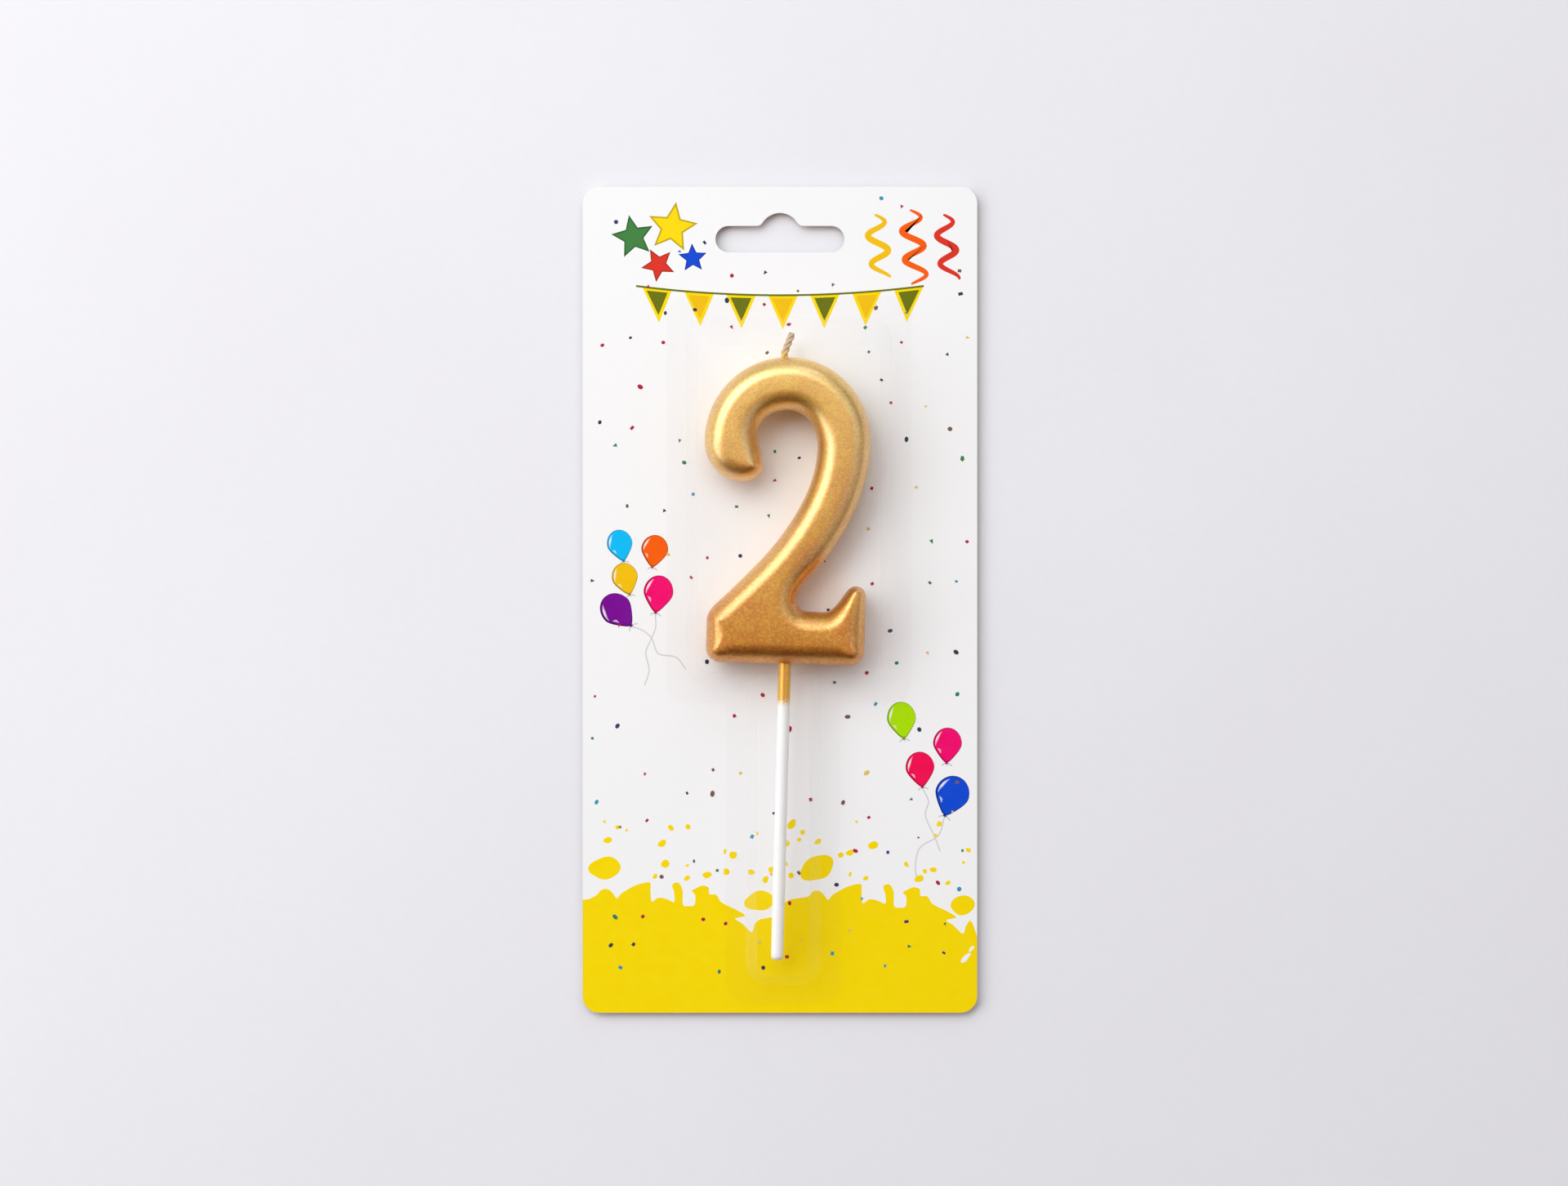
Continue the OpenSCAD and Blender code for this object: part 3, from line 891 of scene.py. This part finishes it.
def joined_forms(target, others):
    """Fuses closed forms into one."""
    for other in others:
        mod = target.modifiers.new("join", "BOOLEAN")
        mod.operation, mod.solver, mod.object = "UNION", "EXACT", other
    mesh = bpy.data.meshes.new_from_object(target.evaluated_get(bpy.context.evaluated_depsgraph_get()))
    target.modifiers.clear()
    target.data = mesh
    for other in others:
        bpy.data.objects.remove(other)
    return target


class CANDLE_OT_blister(bpy.types.Operator):
    """Builds the clear film: tray, pick channel and sealed flange in one sheet"""

    bl_idname = "candle.blister"
    bl_label = "Blister"

    def execute(self, context):
        scene = context.scene
        film, f, s, card = scene.candle_film, scene.candle_figure, scene.candle_pick, scene.candle_card
        t = film.thickness
        wide = f.bowl_width / 2 + film.side_gap + t
        tall = f.height / 2 + film.end_gap + t
        tray = (film.seat_x - wide, film.seat_x + wide, film.seat_y - tall, film.seat_y + tall)
        tray_out = (film.draft, film.draft, film.draft, s.wick_rise + film.wick_gap - film.end_gap)
        tray_high = f.depth + film.head_gap + t
        slim = s.pick / 2 + film.pick_gap + t
        mid = film.seat_x + film.channel_x
        foot = film.seat_y - f.height / 2
        channel = (mid - slim, mid + slim, foot - s.pick_out - film.pick_end - t, foot)
        channel_out = (film.draft, film.draft, film.draft, 0)
        channel_high = f.depth / 2 + s.pick / 2 + film.pick_head + t
        top = t + film.clear
        plates = []
        for box, out in ((tray, tray_out), (channel, channel_out)):
            outline = grown(grown(box, out), [film.flange] * 4)
            rings = [round_ring(outline, film.corner + CORNER_SPREAD, z) for z in (2 * SUNK, top)]
            plates.append(solid_from("flange", *lofted(rings)))
        forms = [
            pocket("tray", tray, tray_out, tray_high, film),
            pocket("channel", channel, channel_out, channel_high, film),
        ]
        obj = joined_forms(plates[0], [plates[1]] + forms)
        mesh = obj.data
        bm = bmesh.new()
        bm.from_mesh(mesh)
        under = [face for face in bm.faces if face.calc_center_median().z < top - CUT_BELOW]
        bmesh.ops.delete(bm, geom=under, context="FACES")
        bmesh.ops.remove_doubles(bm, verts=bm.verts, dist=JOIN_WITHIN)
        if not bm.faces:
            raise RuntimeError("the film's forms did not join")
        bm.to_mesh(mesh)
        bm.free()
        mesh.transform(Matrix.Translation((0, 0, card.thickness)))
        mesh.polygons.foreach_set("use_smooth", [True] * len(mesh.polygons))
        obj.name = mesh.name = "blister_film"
        wall = obj.modifiers.new("film", "SOLIDIFY")
        wall.thickness, wall.offset, wall.use_even_offset = t, -1, True
        mesh.set_sharp_from_angle(angle=math.radians(CRISP))
        even = obj.modifiers.new("normals", "WEIGHTED_NORMAL")
        even.keep_sharp = True
        mesh.materials.clear()
        mesh.materials.append(film_finish())
        finished(obj, "blister_shell", "clear_film", "blister")
        return {"FINISHED"}


# Card and print. The print's places and sizes are in millimetres from the card's middle


# Gap that keeps the print off the board
INK_GAP = 0.0005 * MM


class CANDLE_OT_card(bpy.types.Operator):
    """Gives the die-cut board its coated front, paper edge and plain rear"""

    bl_idname = "candle.card"
    bl_label = "Backing card"

    def execute(self, context):
        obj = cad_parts["backing_card"]
        mat = board_finish(context.scene.candle_card)
        if obj.material_slots:
            for held in obj.material_slots:
                held.material = mat
        else:
            obj.data.materials.append(mat)
        return {"FINISHED"}


class Sheet:
    """Collects printed shapes by ink, as thin plates on the card's front."""

    def __init__(self, context):
        self.inks = context.scene.candle_print
        self.base = context.scene.candle_card.thickness
        self.verts, self.faces, self.kinds, self.used = [], [], [], []

    def shape(self, ink, points, layer=0):
        """Adds one flat shape at a layer over the board."""
        area = sum(a[0] * b[1] - b[0] * a[1] for a, b in zip(points, points[1:] + points[:1]))
        if area < 0:
            points = points[::-1]
        if ink not in self.used:
            self.used.append(ink)
        low = self.base + INK_GAP
        high = low + self.inks.lift * (1 + layer)
        n, start = len(points), len(self.verts)
        for z in (low, high):
            self.verts += [(x * MM, y * MM, z) for x, y in points]
        self.faces.append(tuple(start + n + i for i in range(n)))
        self.faces.append(tuple(start + i for i in reversed(range(n))))
        for i in range(n):
            j = (i + 1) % n
            self.faces.append((start + i, start + j, start + n + j, start + n + i))
        self.kinds += [self.used.index(ink)] * (n + 2)

    def line(self, ink, points, width, layer=0):
        """Adds a line of even or tapering width along points. width is a number or a rule of 0 to 1."""
        left, right = [], []
        last = len(points) - 1
        for i, (x, y) in enumerate(points):
            a, b = points[max(0, i - 1)], points[min(last, i + 1)]
            way = Vector((b[0] - a[0], b[1] - a[1])).normalized()
            half = (width(i / last) if callable(width) else width) / 2
            left.append((x - way.y * half, y + way.x * half))
            right.append((x + way.y * half, y - way.x * half))
        self.shape(ink, left + right[::-1], layer)

    def piece(self, name, finishes):
        """Makes the collected shapes one piece on the card."""
        obj = solid_from(name, self.verts, self.faces)
        for ink in self.used:
            obj.data.materials.append(finishes(ink))
        obj.data.polygons.foreach_set("material_index", self.kinds)
        obj.data.polygons.foreach_set("use_smooth", [False] * len(self.kinds))
        obj.data.update()
        return finished(obj, "card", "printed_card")


def ink_of(settings):
    """Gives each ink's finish once. An ink is a setting's name or a colour."""
    made = {}

    def finish(ink):
        """The finish of one ink."""
        if ink not in made:
            hue = getattr(settings, ink) if isinstance(ink, str) else ink
            name = "ink_" + (ink if isinstance(ink, str) else "speck_%d" % len(made))
            made[ink] = ink_finish(name, tuple(hue))
        return made[ink]

    return finish


def blob(rng, x, y, rx, ry, turn, rough=0.16, count=26):
    """An uneven drop."""
    waves = [(rng.uniform(0, 6.28), rng.uniform(0.3, 1) * rough / k, k) for k in (2, 3, 4)]
    out = []
    for a in circle(count):
        r = 1 + sum(size * math.sin(k * a + start) for start, size, k in waves)
        out.append(turned(x, y, rx * r * math.cos(a), ry * r * math.sin(a), turn))
    return out


def curve(points, steps=10):
    """Smooth line through points."""
    out = []
    last = len(points) - 1
    for i in range(last):
        a, b, c, d = (Vector(points[min(last, max(0, i + k))]) for k in (-1, 0, 1, 2))
        for j in range(steps):
            t = j / steps
            square = (2 * a - 5 * b + 4 * c - d) * t * t
            cube = (3 * b - a - 3 * c + d) * t**3
            v = 0.5 * (2 * b + (c - a) * t + square + cube)
            out.append((v.x, v.y))
    return out + [tuple(points[-1])]


# One length of the splashed edge. A second one follows at the pitch. The ends are levels at the card's sides
SPLASH_EDGE = (
    (-41.2, -64.5), (-39.5, -63.6), (-38.6, -62.6), (-37.4, -62.3), (-36.3, -62.9), (-35.1, -64.3),
    (-34.2, -63.3), (-31.7, -61.8), (-29.7, -61.1), (-28.0, -61.0), (-27.9, -62.9), (-27.6, -65.0),
    (-26.2, -64.2), (-24.4, -64.5), (-22.8, -65.1), (-22.8, -63.2), (-23.2, -61.4), (-21.9, -61.0),
    (-21.0, -62.6), (-20.9, -65.6), (-19.8, -66.0), (-18.4, -65.7), (-18.3, -63.6), (-19.0, -62.8),
    (-18.0, -62.1), (-16.7, -61.6), (-15.4, -62.0), (-15.2, -63.4), (-13.7, -63.6), (-12.8, -65.0),
    (-11.3, -65.9), (-9.4, -66.8), (-7.5, -68.1), (-9.6, -68.7), (-8.1, -69.8), (-6.1, -71.6),
    (-5.4, -69.9), (-4.3, -68.9), (-1.4, -68.3), (0.3, -67.2), (1.5, -64.9),
)
SPLASH_PITCH = (45.5, -0.35)
SPLASH_ENDS = (-64.6, -72.5)
# Place, size and turn of the large drops over the edge, and of the bare drops below it
SPLASH_DROPS = (
    (-37.7, -57.8, 3.3, 0.3), (-4.4, -64.9, 3.0, 0.1), (8.0, -57.8, 3.6, 0.3), (39.4, -65.8, 2.7, 0.35),
    (-15.7, -59.3, 0.95, 0.1), (-3.1, -60.3, 0.8, 1.4), (-26.9, -59.6, 0.6, 0.7), (30.0, -60.1, 1.0, 0.4),
    (18.5, -60.0, 0.6, 0.2), (36.2, -61.0, 0.6, 0.3), (-25.4, -52.5, 0.95, 0.5), (20.1, -52.9, 1.1, 0.2),
    (2.5, -48.4, 1.1, 0.9), (15.1, -54.5, 0.85, 0.3), (8.2, -52.1, 0.75, 0.5), (-37.1, -51.8, 0.9, 0.2),
)
SPLASH_GAPS = ((40.0, -77.2, 1.3, 0.75), (41.3, -75.2, 0.8, 0.75))
# Height as a share of the width, unevenness and number of points of these drops
DROP_FORM = (0.74, 0.2, 40)
GAP_FORM = (0.42, 0.3, 30)
# Fine spray over the edge: number of tries, margin at the card's sides, start over the foot's level, rise,
# how fast it thins out, sizes, extra size near the edge, flatness, turn, and distance as a share of two sizes
SPRAY_TRIES = 52
SPRAY_MARGIN = 1.5
SPRAY_START = 3.6
SPRAY_RISE = 13
SPRAY_THINS = 1.7
SPRAY_SIZES = (0.3, 0.62)
SPRAY_EXTRA = 0.5
SPRAY_FLAT = (0.55, 1)
SPRAY_TURN = 3
SPRAY_APART = 1.3


class CANDLE_OT_foot_print(bpy.types.Operator):
    """Prints the yellow foot of the card with its splashed edge and drops"""

    bl_idname = "candle.foot_print"
    bl_label = "Yellow foot"

    def execute(self, context):
        card, inks = context.scene.candle_card, context.scene.candle_print
        rng = random.Random(inks.seed)
        sheet = Sheet(context)
        half, low, r = card.width / MM / 2, -card.height / MM / 2, card.corner / MM
        level = inks.foot_top / MM
        across, down = SPLASH_PITCH
        knots = [(-half, SPLASH_ENDS[0]), *SPLASH_EDGE]
        knots += [(x + across, y + down) for x, y in SPLASH_EDGE[1:] if x + across < half - 1]
        edge = [(max(-half, min(half, x)), y) for x, y in curve(knots + [(half, SPLASH_ENDS[1])])]
        corner = [(-half + r - r * math.cos(a), low + r - r * math.sin(a)) for a in arc(90, 10)]
        other = [(-x, y) for x, y in reversed(corner)]
        sheet.shape("yellow", edge[::-1] + corner + other)
        for ink, places, (flat, rough, count), layer in (
            ("yellow", SPLASH_DROPS, DROP_FORM, 1),
            ("bare", SPLASH_GAPS, GAP_FORM, 2),
        ):
            for x, y, size, turn in places:
                sheet.shape(ink, blob(rng, x, y, size, size * flat, turn, rough, count), layer)
        drops = [drop[:3] for drop in SPLASH_DROPS]
        for _ in range(SPRAY_TRIES):
            x = rng.uniform(-half + SPRAY_MARGIN, half - SPRAY_MARGIN)
            up = rng.random() ** SPRAY_THINS
            y = level + SPRAY_START + SPRAY_RISE * up
            size = rng.uniform(*SPRAY_SIZES) + (1 - up) * rng.uniform(0, SPRAY_EXTRA)
            points = blob(rng, x, y, size, size * rng.uniform(*SPRAY_FLAT), rng.uniform(0, SPRAY_TURN))
            if all((x - u) ** 2 + (y - v) ** 2 > (SPRAY_APART * (size + s)) ** 2 for u, v, s in drops):
                drops.append((x, y, size))
                sheet.shape("yellow", points, 3)
        sheet.piece("print_foot", ink_of(inks))
        return {"FINISHED"}


# Ink, middle, width, height and tilt of each balloon, then each string: its balloon's ink and its points
BUNCHES = {
    "print_balloons_left": (
        (
            ("purple", -35.2, -2.2, 6.8, 7.6, 0.75),
            ("cyan", -34.5, 12.0, 5.5, 6.2, 0.22),
            ("orange", -27.0, 10.8, 5.8, 6.3, -0.14),
            ("amber", -33.4, 4.8, 5.6, 6.3, 0.26),
            ("magenta", -26.2, 1.6, 6.4, 7.3, -0.14),
        ),
        ("purple", (-29.6, -6.6), (-27.6, -8.4), (-26.2, -11.6), (-22.4, -12.4), (-20.3, -15.0)),
        ("magenta", (-26.8, -6.0), (-27.8, -8.6), (-28.9, -11.4), (-28.2, -15.2), (-29.2, -18.4)),
    ),
    "print_balloons_right": (
        (
            ("lime", 26.2, -25.6, 6.2, 7.2, 0.12),
            ("magenta", 36.1, -31.0, 6.2, 6.9, -0.05),
            ("crimson", 30.2, -36.2, 6.2, 6.9, 0.12),
            ("blue", 37.1, -41.9, 7.4, 8.0, -0.33),
        ),
        ("crimson", (32.0, -43.4), (31.4, -46.6), (33.4, -51.2), (34.5, -54.2)),
        ("blue", (34.6, -50.0), (33.4, -51.4), (30.2, -53.4), (29.2, -57.0), (29.5, -60.2)),
    ),
}
# Widths of a balloon's short tails and of its string
TAIL_WIDTH = 0.34
STRING_WIDTH = 0.28
# Points round a balloon and steps along a light on it
BALLOON_SIDES = 48
LIGHT_STEPS = 14
# A balloon's knot, as shares of its width and height from its middle
KNOT = ((-0.02, -0.56), (0.02, -0.56), (0.06, -0.64), (-0.06, -0.64))


def balloon(sheet, ink, x, y, wide, tall, tilt):
    """One teardrop balloon with a dark rim, lights and its knot. Returns where its string starts."""
    base = tuple(getattr(sheet.inks, ink))
    rim = shade(base, 0.42)
    pale = tuple(c * 0.45 + 0.5 for c in base)

    def at(u, v):
        """A point of the balloon, as shares of its width and height from its middle."""
        return turned(x, y, u * wide, v * tall, tilt)

    def side(a):
        """Half width and level at an angle round the balloon: round above, drawn to a point below."""
        v = 0.5 * math.sin(a)
        point = max(0, -v / 0.5)
        return 0.5 * math.cos(a) * (1 - 0.42 * point**1.6), v - 0.1 * point**3

    def form(scale, du=0.0, dv=0.0):
        """The balloon's outline at a scale, moved a little."""
        return [at(u * scale + du, v * scale + dv) for u, v in map(side, circle(BALLOON_SIDES))]

    def crescent(start, end, deep, thick):
        """A light that follows the rim from one angle to another."""
        outer, inner = [], []
        for i in range(LIGHT_STEPS + 1):
            u, v = side(math.radians(start + (end - start) * i / LIGHT_STEPS))
            near = deep - thick * math.sin(math.pi * i / LIGHT_STEPS)
            outer.append(at(u * deep, v * deep))
            inner.append(at(u * near, v * near))
        return outer + inner[-2:0:-1]

    for lean in (-0.16, 0.02, 0.2):
        sheet.line("thread", [at(lean * 0.2, -0.6), at(lean, -0.69)], TAIL_WIDTH, abs(lean))
    sheet.shape(rim, [at(u, v) for u, v in KNOT], 1)
    sheet.shape(rim, form(1.0), 1.5)
    sheet.shape(ink, form(0.94, 0.016, 0.01), 2)
    sheet.shape(pale, crescent(118, 192, 0.85, 0.16), 2.5)
    sheet.shape(pale, crescent(202, 226, 0.8, 0.14), 2.5)
    sheet.shape("shine", crescent(132, 174, 0.83, 0.08), 3)
    return at(0, -0.66)


class CANDLE_OT_balloon_print(bpy.types.Operator):
    """Prints two bunches of plain balloons on their strings"""

    bl_idname = "candle.balloon_print"
    bl_label = "Balloons"

    def execute(self, context):
        finishes = ink_of(context.scene.candle_print)
        for name, (balloons, *strings) in BUNCHES.items():
            sheet = Sheet(context)
            knots = {spec[0]: balloon(sheet, *spec) for spec in balloons}
            for k, (ink, *way) in enumerate(strings):
                sheet.line("thread", curve([knots[ink], *way]), STRING_WIDTH, 0.5 + 0.2 * k)
            sheet.piece(name, finishes)
        return {"FINISHED"}


# Cord of the flags: half its length, level of its ends, sag, steps and width
CORD_HALF = 31
CORD_LEVEL = 67.6
CORD_SAG = 2.0
CORD_STEPS = 48
CORD_WIDTH = 0.42
# Flags: their number, the first one's step on the cord, steps from one to the next, and height
FLAGS = 7
FLAG_FIRST = 3
FLAG_PITCH = 7
FLAG_DROP = 7.4
# Ink, middle, radius and turn of each star, and its hollows, inner field and dark rim as shares
STARS = (
    ("green", -31.6, 78.2, 4.8, 0.2), ("yellow", -23.2, 80.2, 5.6, -0.15),
    ("red", -26.2, 72.2, 3.8, 0.5), ("blue", -18.8, 73.6, 3.2, 0.05),
)
STAR_HOLLOW = 0.46
STAR_FIELD = 0.84
STAR_RIM = 0.55
# Ink, upper end, height, turns and reach of each ribbon, and the steps and sideways drift of all
RIBBONS = (
    ("amber", 20.4, 83.0, 13.5, 2.2, 2.0),
    ("orange", 28.0, 84.0, 16.0, 2.6, 2.2),
    ("red", 35.2, 83.0, 14.0, 2.3, 1.9),
)
RIBBON_STEPS = 70
RIBBON_DRIFT = 1.6


def print_flags(sheet):
    """A sagging cord with a row of two-coloured flags."""
    middle = CORD_STEPS // 2
    cord = []
    for i in range(CORD_STEPS + 1):
        sag = CORD_SAG * (1 - ((i - middle) / middle) ** 2)
        cord.append((-CORD_HALF + 2 * CORD_HALF * i / CORD_STEPS, CORD_LEVEL - sag))
    for k in range(FLAGS):
        i = FLAG_FIRST + FLAG_PITCH * k
        a, b = cord[i - 2], cord[i + 3]
        mid = ((a[0] + b[0]) / 2, (a[1] + b[1]) / 2)
        tip = (mid[0] + (a[1] - b[1]) * 0.6, mid[1] - FLAG_DROP)
        sheet.shape("yellow", [a, tip, b])
        core = []
        for x, y in (a, tip, b):
            core.append((mid[0] + (x - mid[0]) * 0.7, mid[1] - 1.0 + (y - mid[1]) * 0.68 + 0.3))
        sheet.shape("olive" if k % 2 == 0 else "amber", core, 1)
    sheet.line("olive", cord, CORD_WIDTH, 2)


def print_stars(sheet):
    """Five-pointed stars with a dark rim."""
    for ink, x, y, size, turn in STARS:
        star = []
        for i in range(10):
            a = turn + math.pi / 2 + math.pi * i / 5
            r = size if i % 2 == 0 else size * STAR_HOLLOW
            star.append((x + r * math.cos(a), y + r * math.sin(a)))
        sheet.shape(shade(getattr(sheet.inks, ink), STAR_RIM), star)
        sheet.shape(ink, [(x + (u - x) * STAR_FIELD, y + (v - y) * STAR_FIELD) for u, v in star], 1)


def print_ribbons(sheet):
    """Curled ribbons, thin at both ends."""
    for ink, x, y, tall, turns, wide in RIBBONS:
        wave = []
        for i in range(RIBBON_STEPS + 1):
            swerve = wide * math.sin(2 * math.pi * turns * i / RIBBON_STEPS)
            wave.append((x + swerve + RIBBON_DRIFT * i / RIBBON_STEPS, y - tall * i / RIBBON_STEPS))
        sheet.line(ink, wave, lambda t: 0.4 + 1.0 * math.sin(math.pi * t) ** 0.6)


class CANDLE_OT_top_print(bpy.types.Operator):
    """Prints a string of flags, four stars and three curled ribbons along the card's top"""

    bl_idname = "candle.top_print"
    bl_label = "Flags, stars and ribbons"

    def execute(self, context):
        finishes = ink_of(context.scene.candle_print)
        for draw in (print_flags, print_stars, print_ribbons):
            sheet = Sheet(context)
            draw(sheet)
            sheet.piece(draw.__name__, finishes)
        return {"FINISHED"}


# Colour and share of each kind of speck
SPECKS = (
    ((52, 62, 78), 5), ((176, 34, 62), 5), ((44, 128, 108), 2.5),
    ((58, 150, 186), 3), ((122, 92, 84), 3), ((64, 130, 74), 2),
    ((226, 200, 96), 1.6), ((238, 180, 140), 1), ((74, 56, 120), 1),
)
# Sizes, lengths as shares of the size, numbers of corners and layer of the specks
SPECK_SIZES = (0.32, 0.5)
SPECK_LONG = (1.0, 1.5)
SPECK_CORNERS = (3, 4, 4, 5, 8)
SPECK_LAYER = 4
# Distance between specks, margin at the card's edge, more of it at the foot, and the most tries
SPECK_APART = 4.6
SPECK_MARGIN = 2
SPECK_FOOT = 6
SPECK_TRIES = 20000
# Hang slot: its level below the card's top, and the room kept free round it: its shift up and half sizes
SLOT_DROP = 11.3
SLOT_SHIFT = 1
SLOT_ROOM = (16, 6.5)


class CANDLE_OT_confetti_print(bpy.types.Operator):
    """Scatters confetti specks over the card's front"""

    bl_idname = "candle.confetti_print"
    bl_label = "Confetti"

    def execute(self, context):
        card, inks = context.scene.candle_card, context.scene.candle_print
        rng = random.Random(inks.seed + 3)
        hues = [linear(*hue) for hue, _ in SPECKS]
        shares = [share for _, share in SPECKS]
        slot_y = card.height / MM / 2 - SLOT_DROP
        half, tall = card.width / MM / 2 - SPECK_MARGIN, card.height / MM / 2 - SPECK_MARGIN
        sheet = Sheet(context)
        placed = []
        tries = 0
        while len(placed) < inks.specks:
            tries += 1
            if tries > SPECK_TRIES:
                raise RuntimeError("no room for the confetti")
            x, y = rng.uniform(-half, half), rng.uniform(-tall + SPECK_FOOT, tall)
            if abs(x) < SLOT_ROOM[0] and abs(y - slot_y - SLOT_SHIFT) < SLOT_ROOM[1]:
                continue
            if any((x - u) ** 2 + (y - v) ** 2 < SPECK_APART**2 for u, v in placed):
                continue
            placed.append((x, y))
            size = rng.uniform(*SPECK_SIZES)
            long = size * rng.uniform(*SPECK_LONG)
            turn = rng.uniform(0, 3.1416)
            corners = rng.choice(SPECK_CORNERS)
            points = []
            for i in range(corners):
                a = 2 * math.pi * (i + 0.5) / corners
                points.append(turned(x, y, long * math.cos(a), size * math.sin(a), turn))
            sheet.shape(rng.choices(hues, shares)[0], points, SPECK_LAYER)
        sheet.piece("print_confetti", ink_of(inks))
        return {"FINISHED"}


# Stage. Lengths are in metres


FLOOR_HALF = 1.6
# Width of the camera's sensor in millimetres and of the photo in pixels
SENSOR = 36
PHOTO_WIDTH = 1920
# Place and width of each lamp. Its power is the setting of the same name
LAMPS = {
    "window": ((-0.71, 0.47, 0.78), 1.05),
    "back": ((0.28, 1.00, 0.46), 0.46),
    "side": ((0.84, -0.06, 0.78), 1.60),
    "west": ((-0.95, -0.20, 0.50), 0.70),
    "key": ((-0.10, 0.48, 0.74), 0.60),
}
LAMP_AIM = (0, 0.01, 0)
# Directions of the bright side and of the warm surroundings overhead, and how nearly a ray points there
# where each starts and is full
SKY_WAY = (-0.1, 0.58, 0.81)
SKY_FADE = (0.26, 1.0)
OVERHEAD_WAY = (0.05, -0.2, 0.98)
OVERHEAD_FADE = (0.79, 0.94)
# Clear layers that a ray may cross: a low view along the film meets more than eight
CLEAR_LAYERS = 32


def add_floor(s):
    """The pale floor under the card."""
    corners = [(x * FLOOR_HALF, y * FLOOR_HALF, -s.drop) for x, y in ((-1, -1), (1, -1), (1, 1), (-1, 1))]
    floor = solid_from("floor", corners, [(0, 1, 2, 3)])
    floor.data.materials.append(floor_finish(s))


def add_camera(scene, s):
    """A camera straight over the card, framed as the photo is."""
    data = bpy.data.cameras.new("camera")
    data.sensor_fit, data.sensor_width = "HORIZONTAL", SENSOR
    data.lens = SENSOR * s.distance / (PHOTO_WIDTH * s.pixel)
    data.clip_start, data.clip_end = 0.01, 20
    camera = bpy.data.objects.new("camera", data)
    camera.location = (s.aim_x, s.aim_y, scene.candle_card.thickness + s.distance)
    scene.collection.objects.link(camera)
    scene.camera = camera


def add_lamps(scene, s):
    """Broad soft lamps round the pack."""
    for name, (place, size) in LAMPS.items():
        lamp = bpy.data.lights.new(name, "AREA")
        lamp.shape, lamp.size, lamp.energy = "DISK", size, getattr(s, name)
        obj = bpy.data.objects.new(name, lamp)
        obj.location = place
        obj.rotation_euler = (Vector(LAMP_AIM) - Vector(place)).to_track_quat("-Z", "Y").to_euler()
        scene.collection.objects.link(obj)


def add_world(scene, s):
    """Surroundings that are bright above the pack, dim below it and warm overhead."""
    world = bpy.data.worlds.new("studio")
    world.use_nodes = True
    scene.world = world
    tree = world.node_tree
    way = put(tree, "TexCoord").outputs["Generated"]
    glow = mixed(tree, ranged(tree, along(tree, way, SKY_WAY), *SKY_FADE), s.room, s.sky)
    over = ranged(tree, along(tree, way, OVERHEAD_WAY), *OVERHEAD_FADE)
    light = mixed(tree, over, glow, s.overhead)
    feed(tree, tree.nodes["Background"], {"Color": light, "Strength": s.world})


class CANDLE_OT_stage(bpy.types.Operator):
    """Sets the pale floor, the soft light and the camera straight over the card"""

    bl_idname = "candle.stage"
    bl_label = "Stage"

    def execute(self, context):
        scene = context.scene
        scene.view_settings.view_transform = "Standard"
        scene.cycles.transparent_max_bounces = CLEAR_LAYERS
        add_floor(scene.candle_stage)
        add_camera(scene, scene.candle_stage)
        add_lamps(scene, scene.candle_stage)
        add_world(scene, scene.candle_stage)
        return {"FINISHED"}


# Panel and start


class CANDLE_PT_pack(bpy.types.Panel):
    """Lists the pieces of the candle pack"""

    bl_label = "Number candle pack"
    bl_space_type = "VIEW_3D"
    bl_region_type = "UI"
    bl_category = "Candle"

    def draw(self, context):
        for cls in OPERATORS:
            self.layout.operator(cls.bl_idname)
        for name in GROUPS:
            box = self.layout.box()
            group = getattr(context.scene, name)
            box.label(text=name.replace("_", " "))
            for key in group.__annotations__:
                box.prop(group, key)


OPERATORS = (
    CANDLE_OT_stage,
    CANDLE_OT_card,
    CANDLE_OT_foot_print,
    CANDLE_OT_balloon_print,
    CANDLE_OT_top_print,
    CANDLE_OT_confetti_print,
    CANDLE_OT_figure,
    CANDLE_OT_wick,
    CANDLE_OT_pick,
    CANDLE_OT_blister,
)


def register():
    """Registers the settings, the operators and the panel."""
    for name, group in GROUPS.items():
        bpy.utils.register_class(group)
        setattr(bpy.types.Scene, name, PointerProperty(type=group))
    for cls in OPERATORS + (CANDLE_PT_pack,):
        bpy.utils.register_class(cls)


def unregister():
    """Takes them away again."""
    for cls in (CANDLE_PT_pack,) + tuple(reversed(OPERATORS)):
        bpy.utils.unregister_class(cls)
    for name, group in GROUPS.items():
        delattr(bpy.types.Scene, name)
        bpy.utils.unregister_class(group)


def main():
    """Builds every piece in order."""
    register()
    bpy.ops.candle.stage()
    bpy.ops.candle.card()
    bpy.ops.candle.foot_print()
    bpy.ops.candle.balloon_print()
    bpy.ops.candle.top_print()
    bpy.ops.candle.confetti_print()
    bpy.ops.candle.figure()
    bpy.ops.candle.wick()
    bpy.ops.candle.pick()
    bpy.ops.candle.blister()


if __name__ == "__main__":
    main()
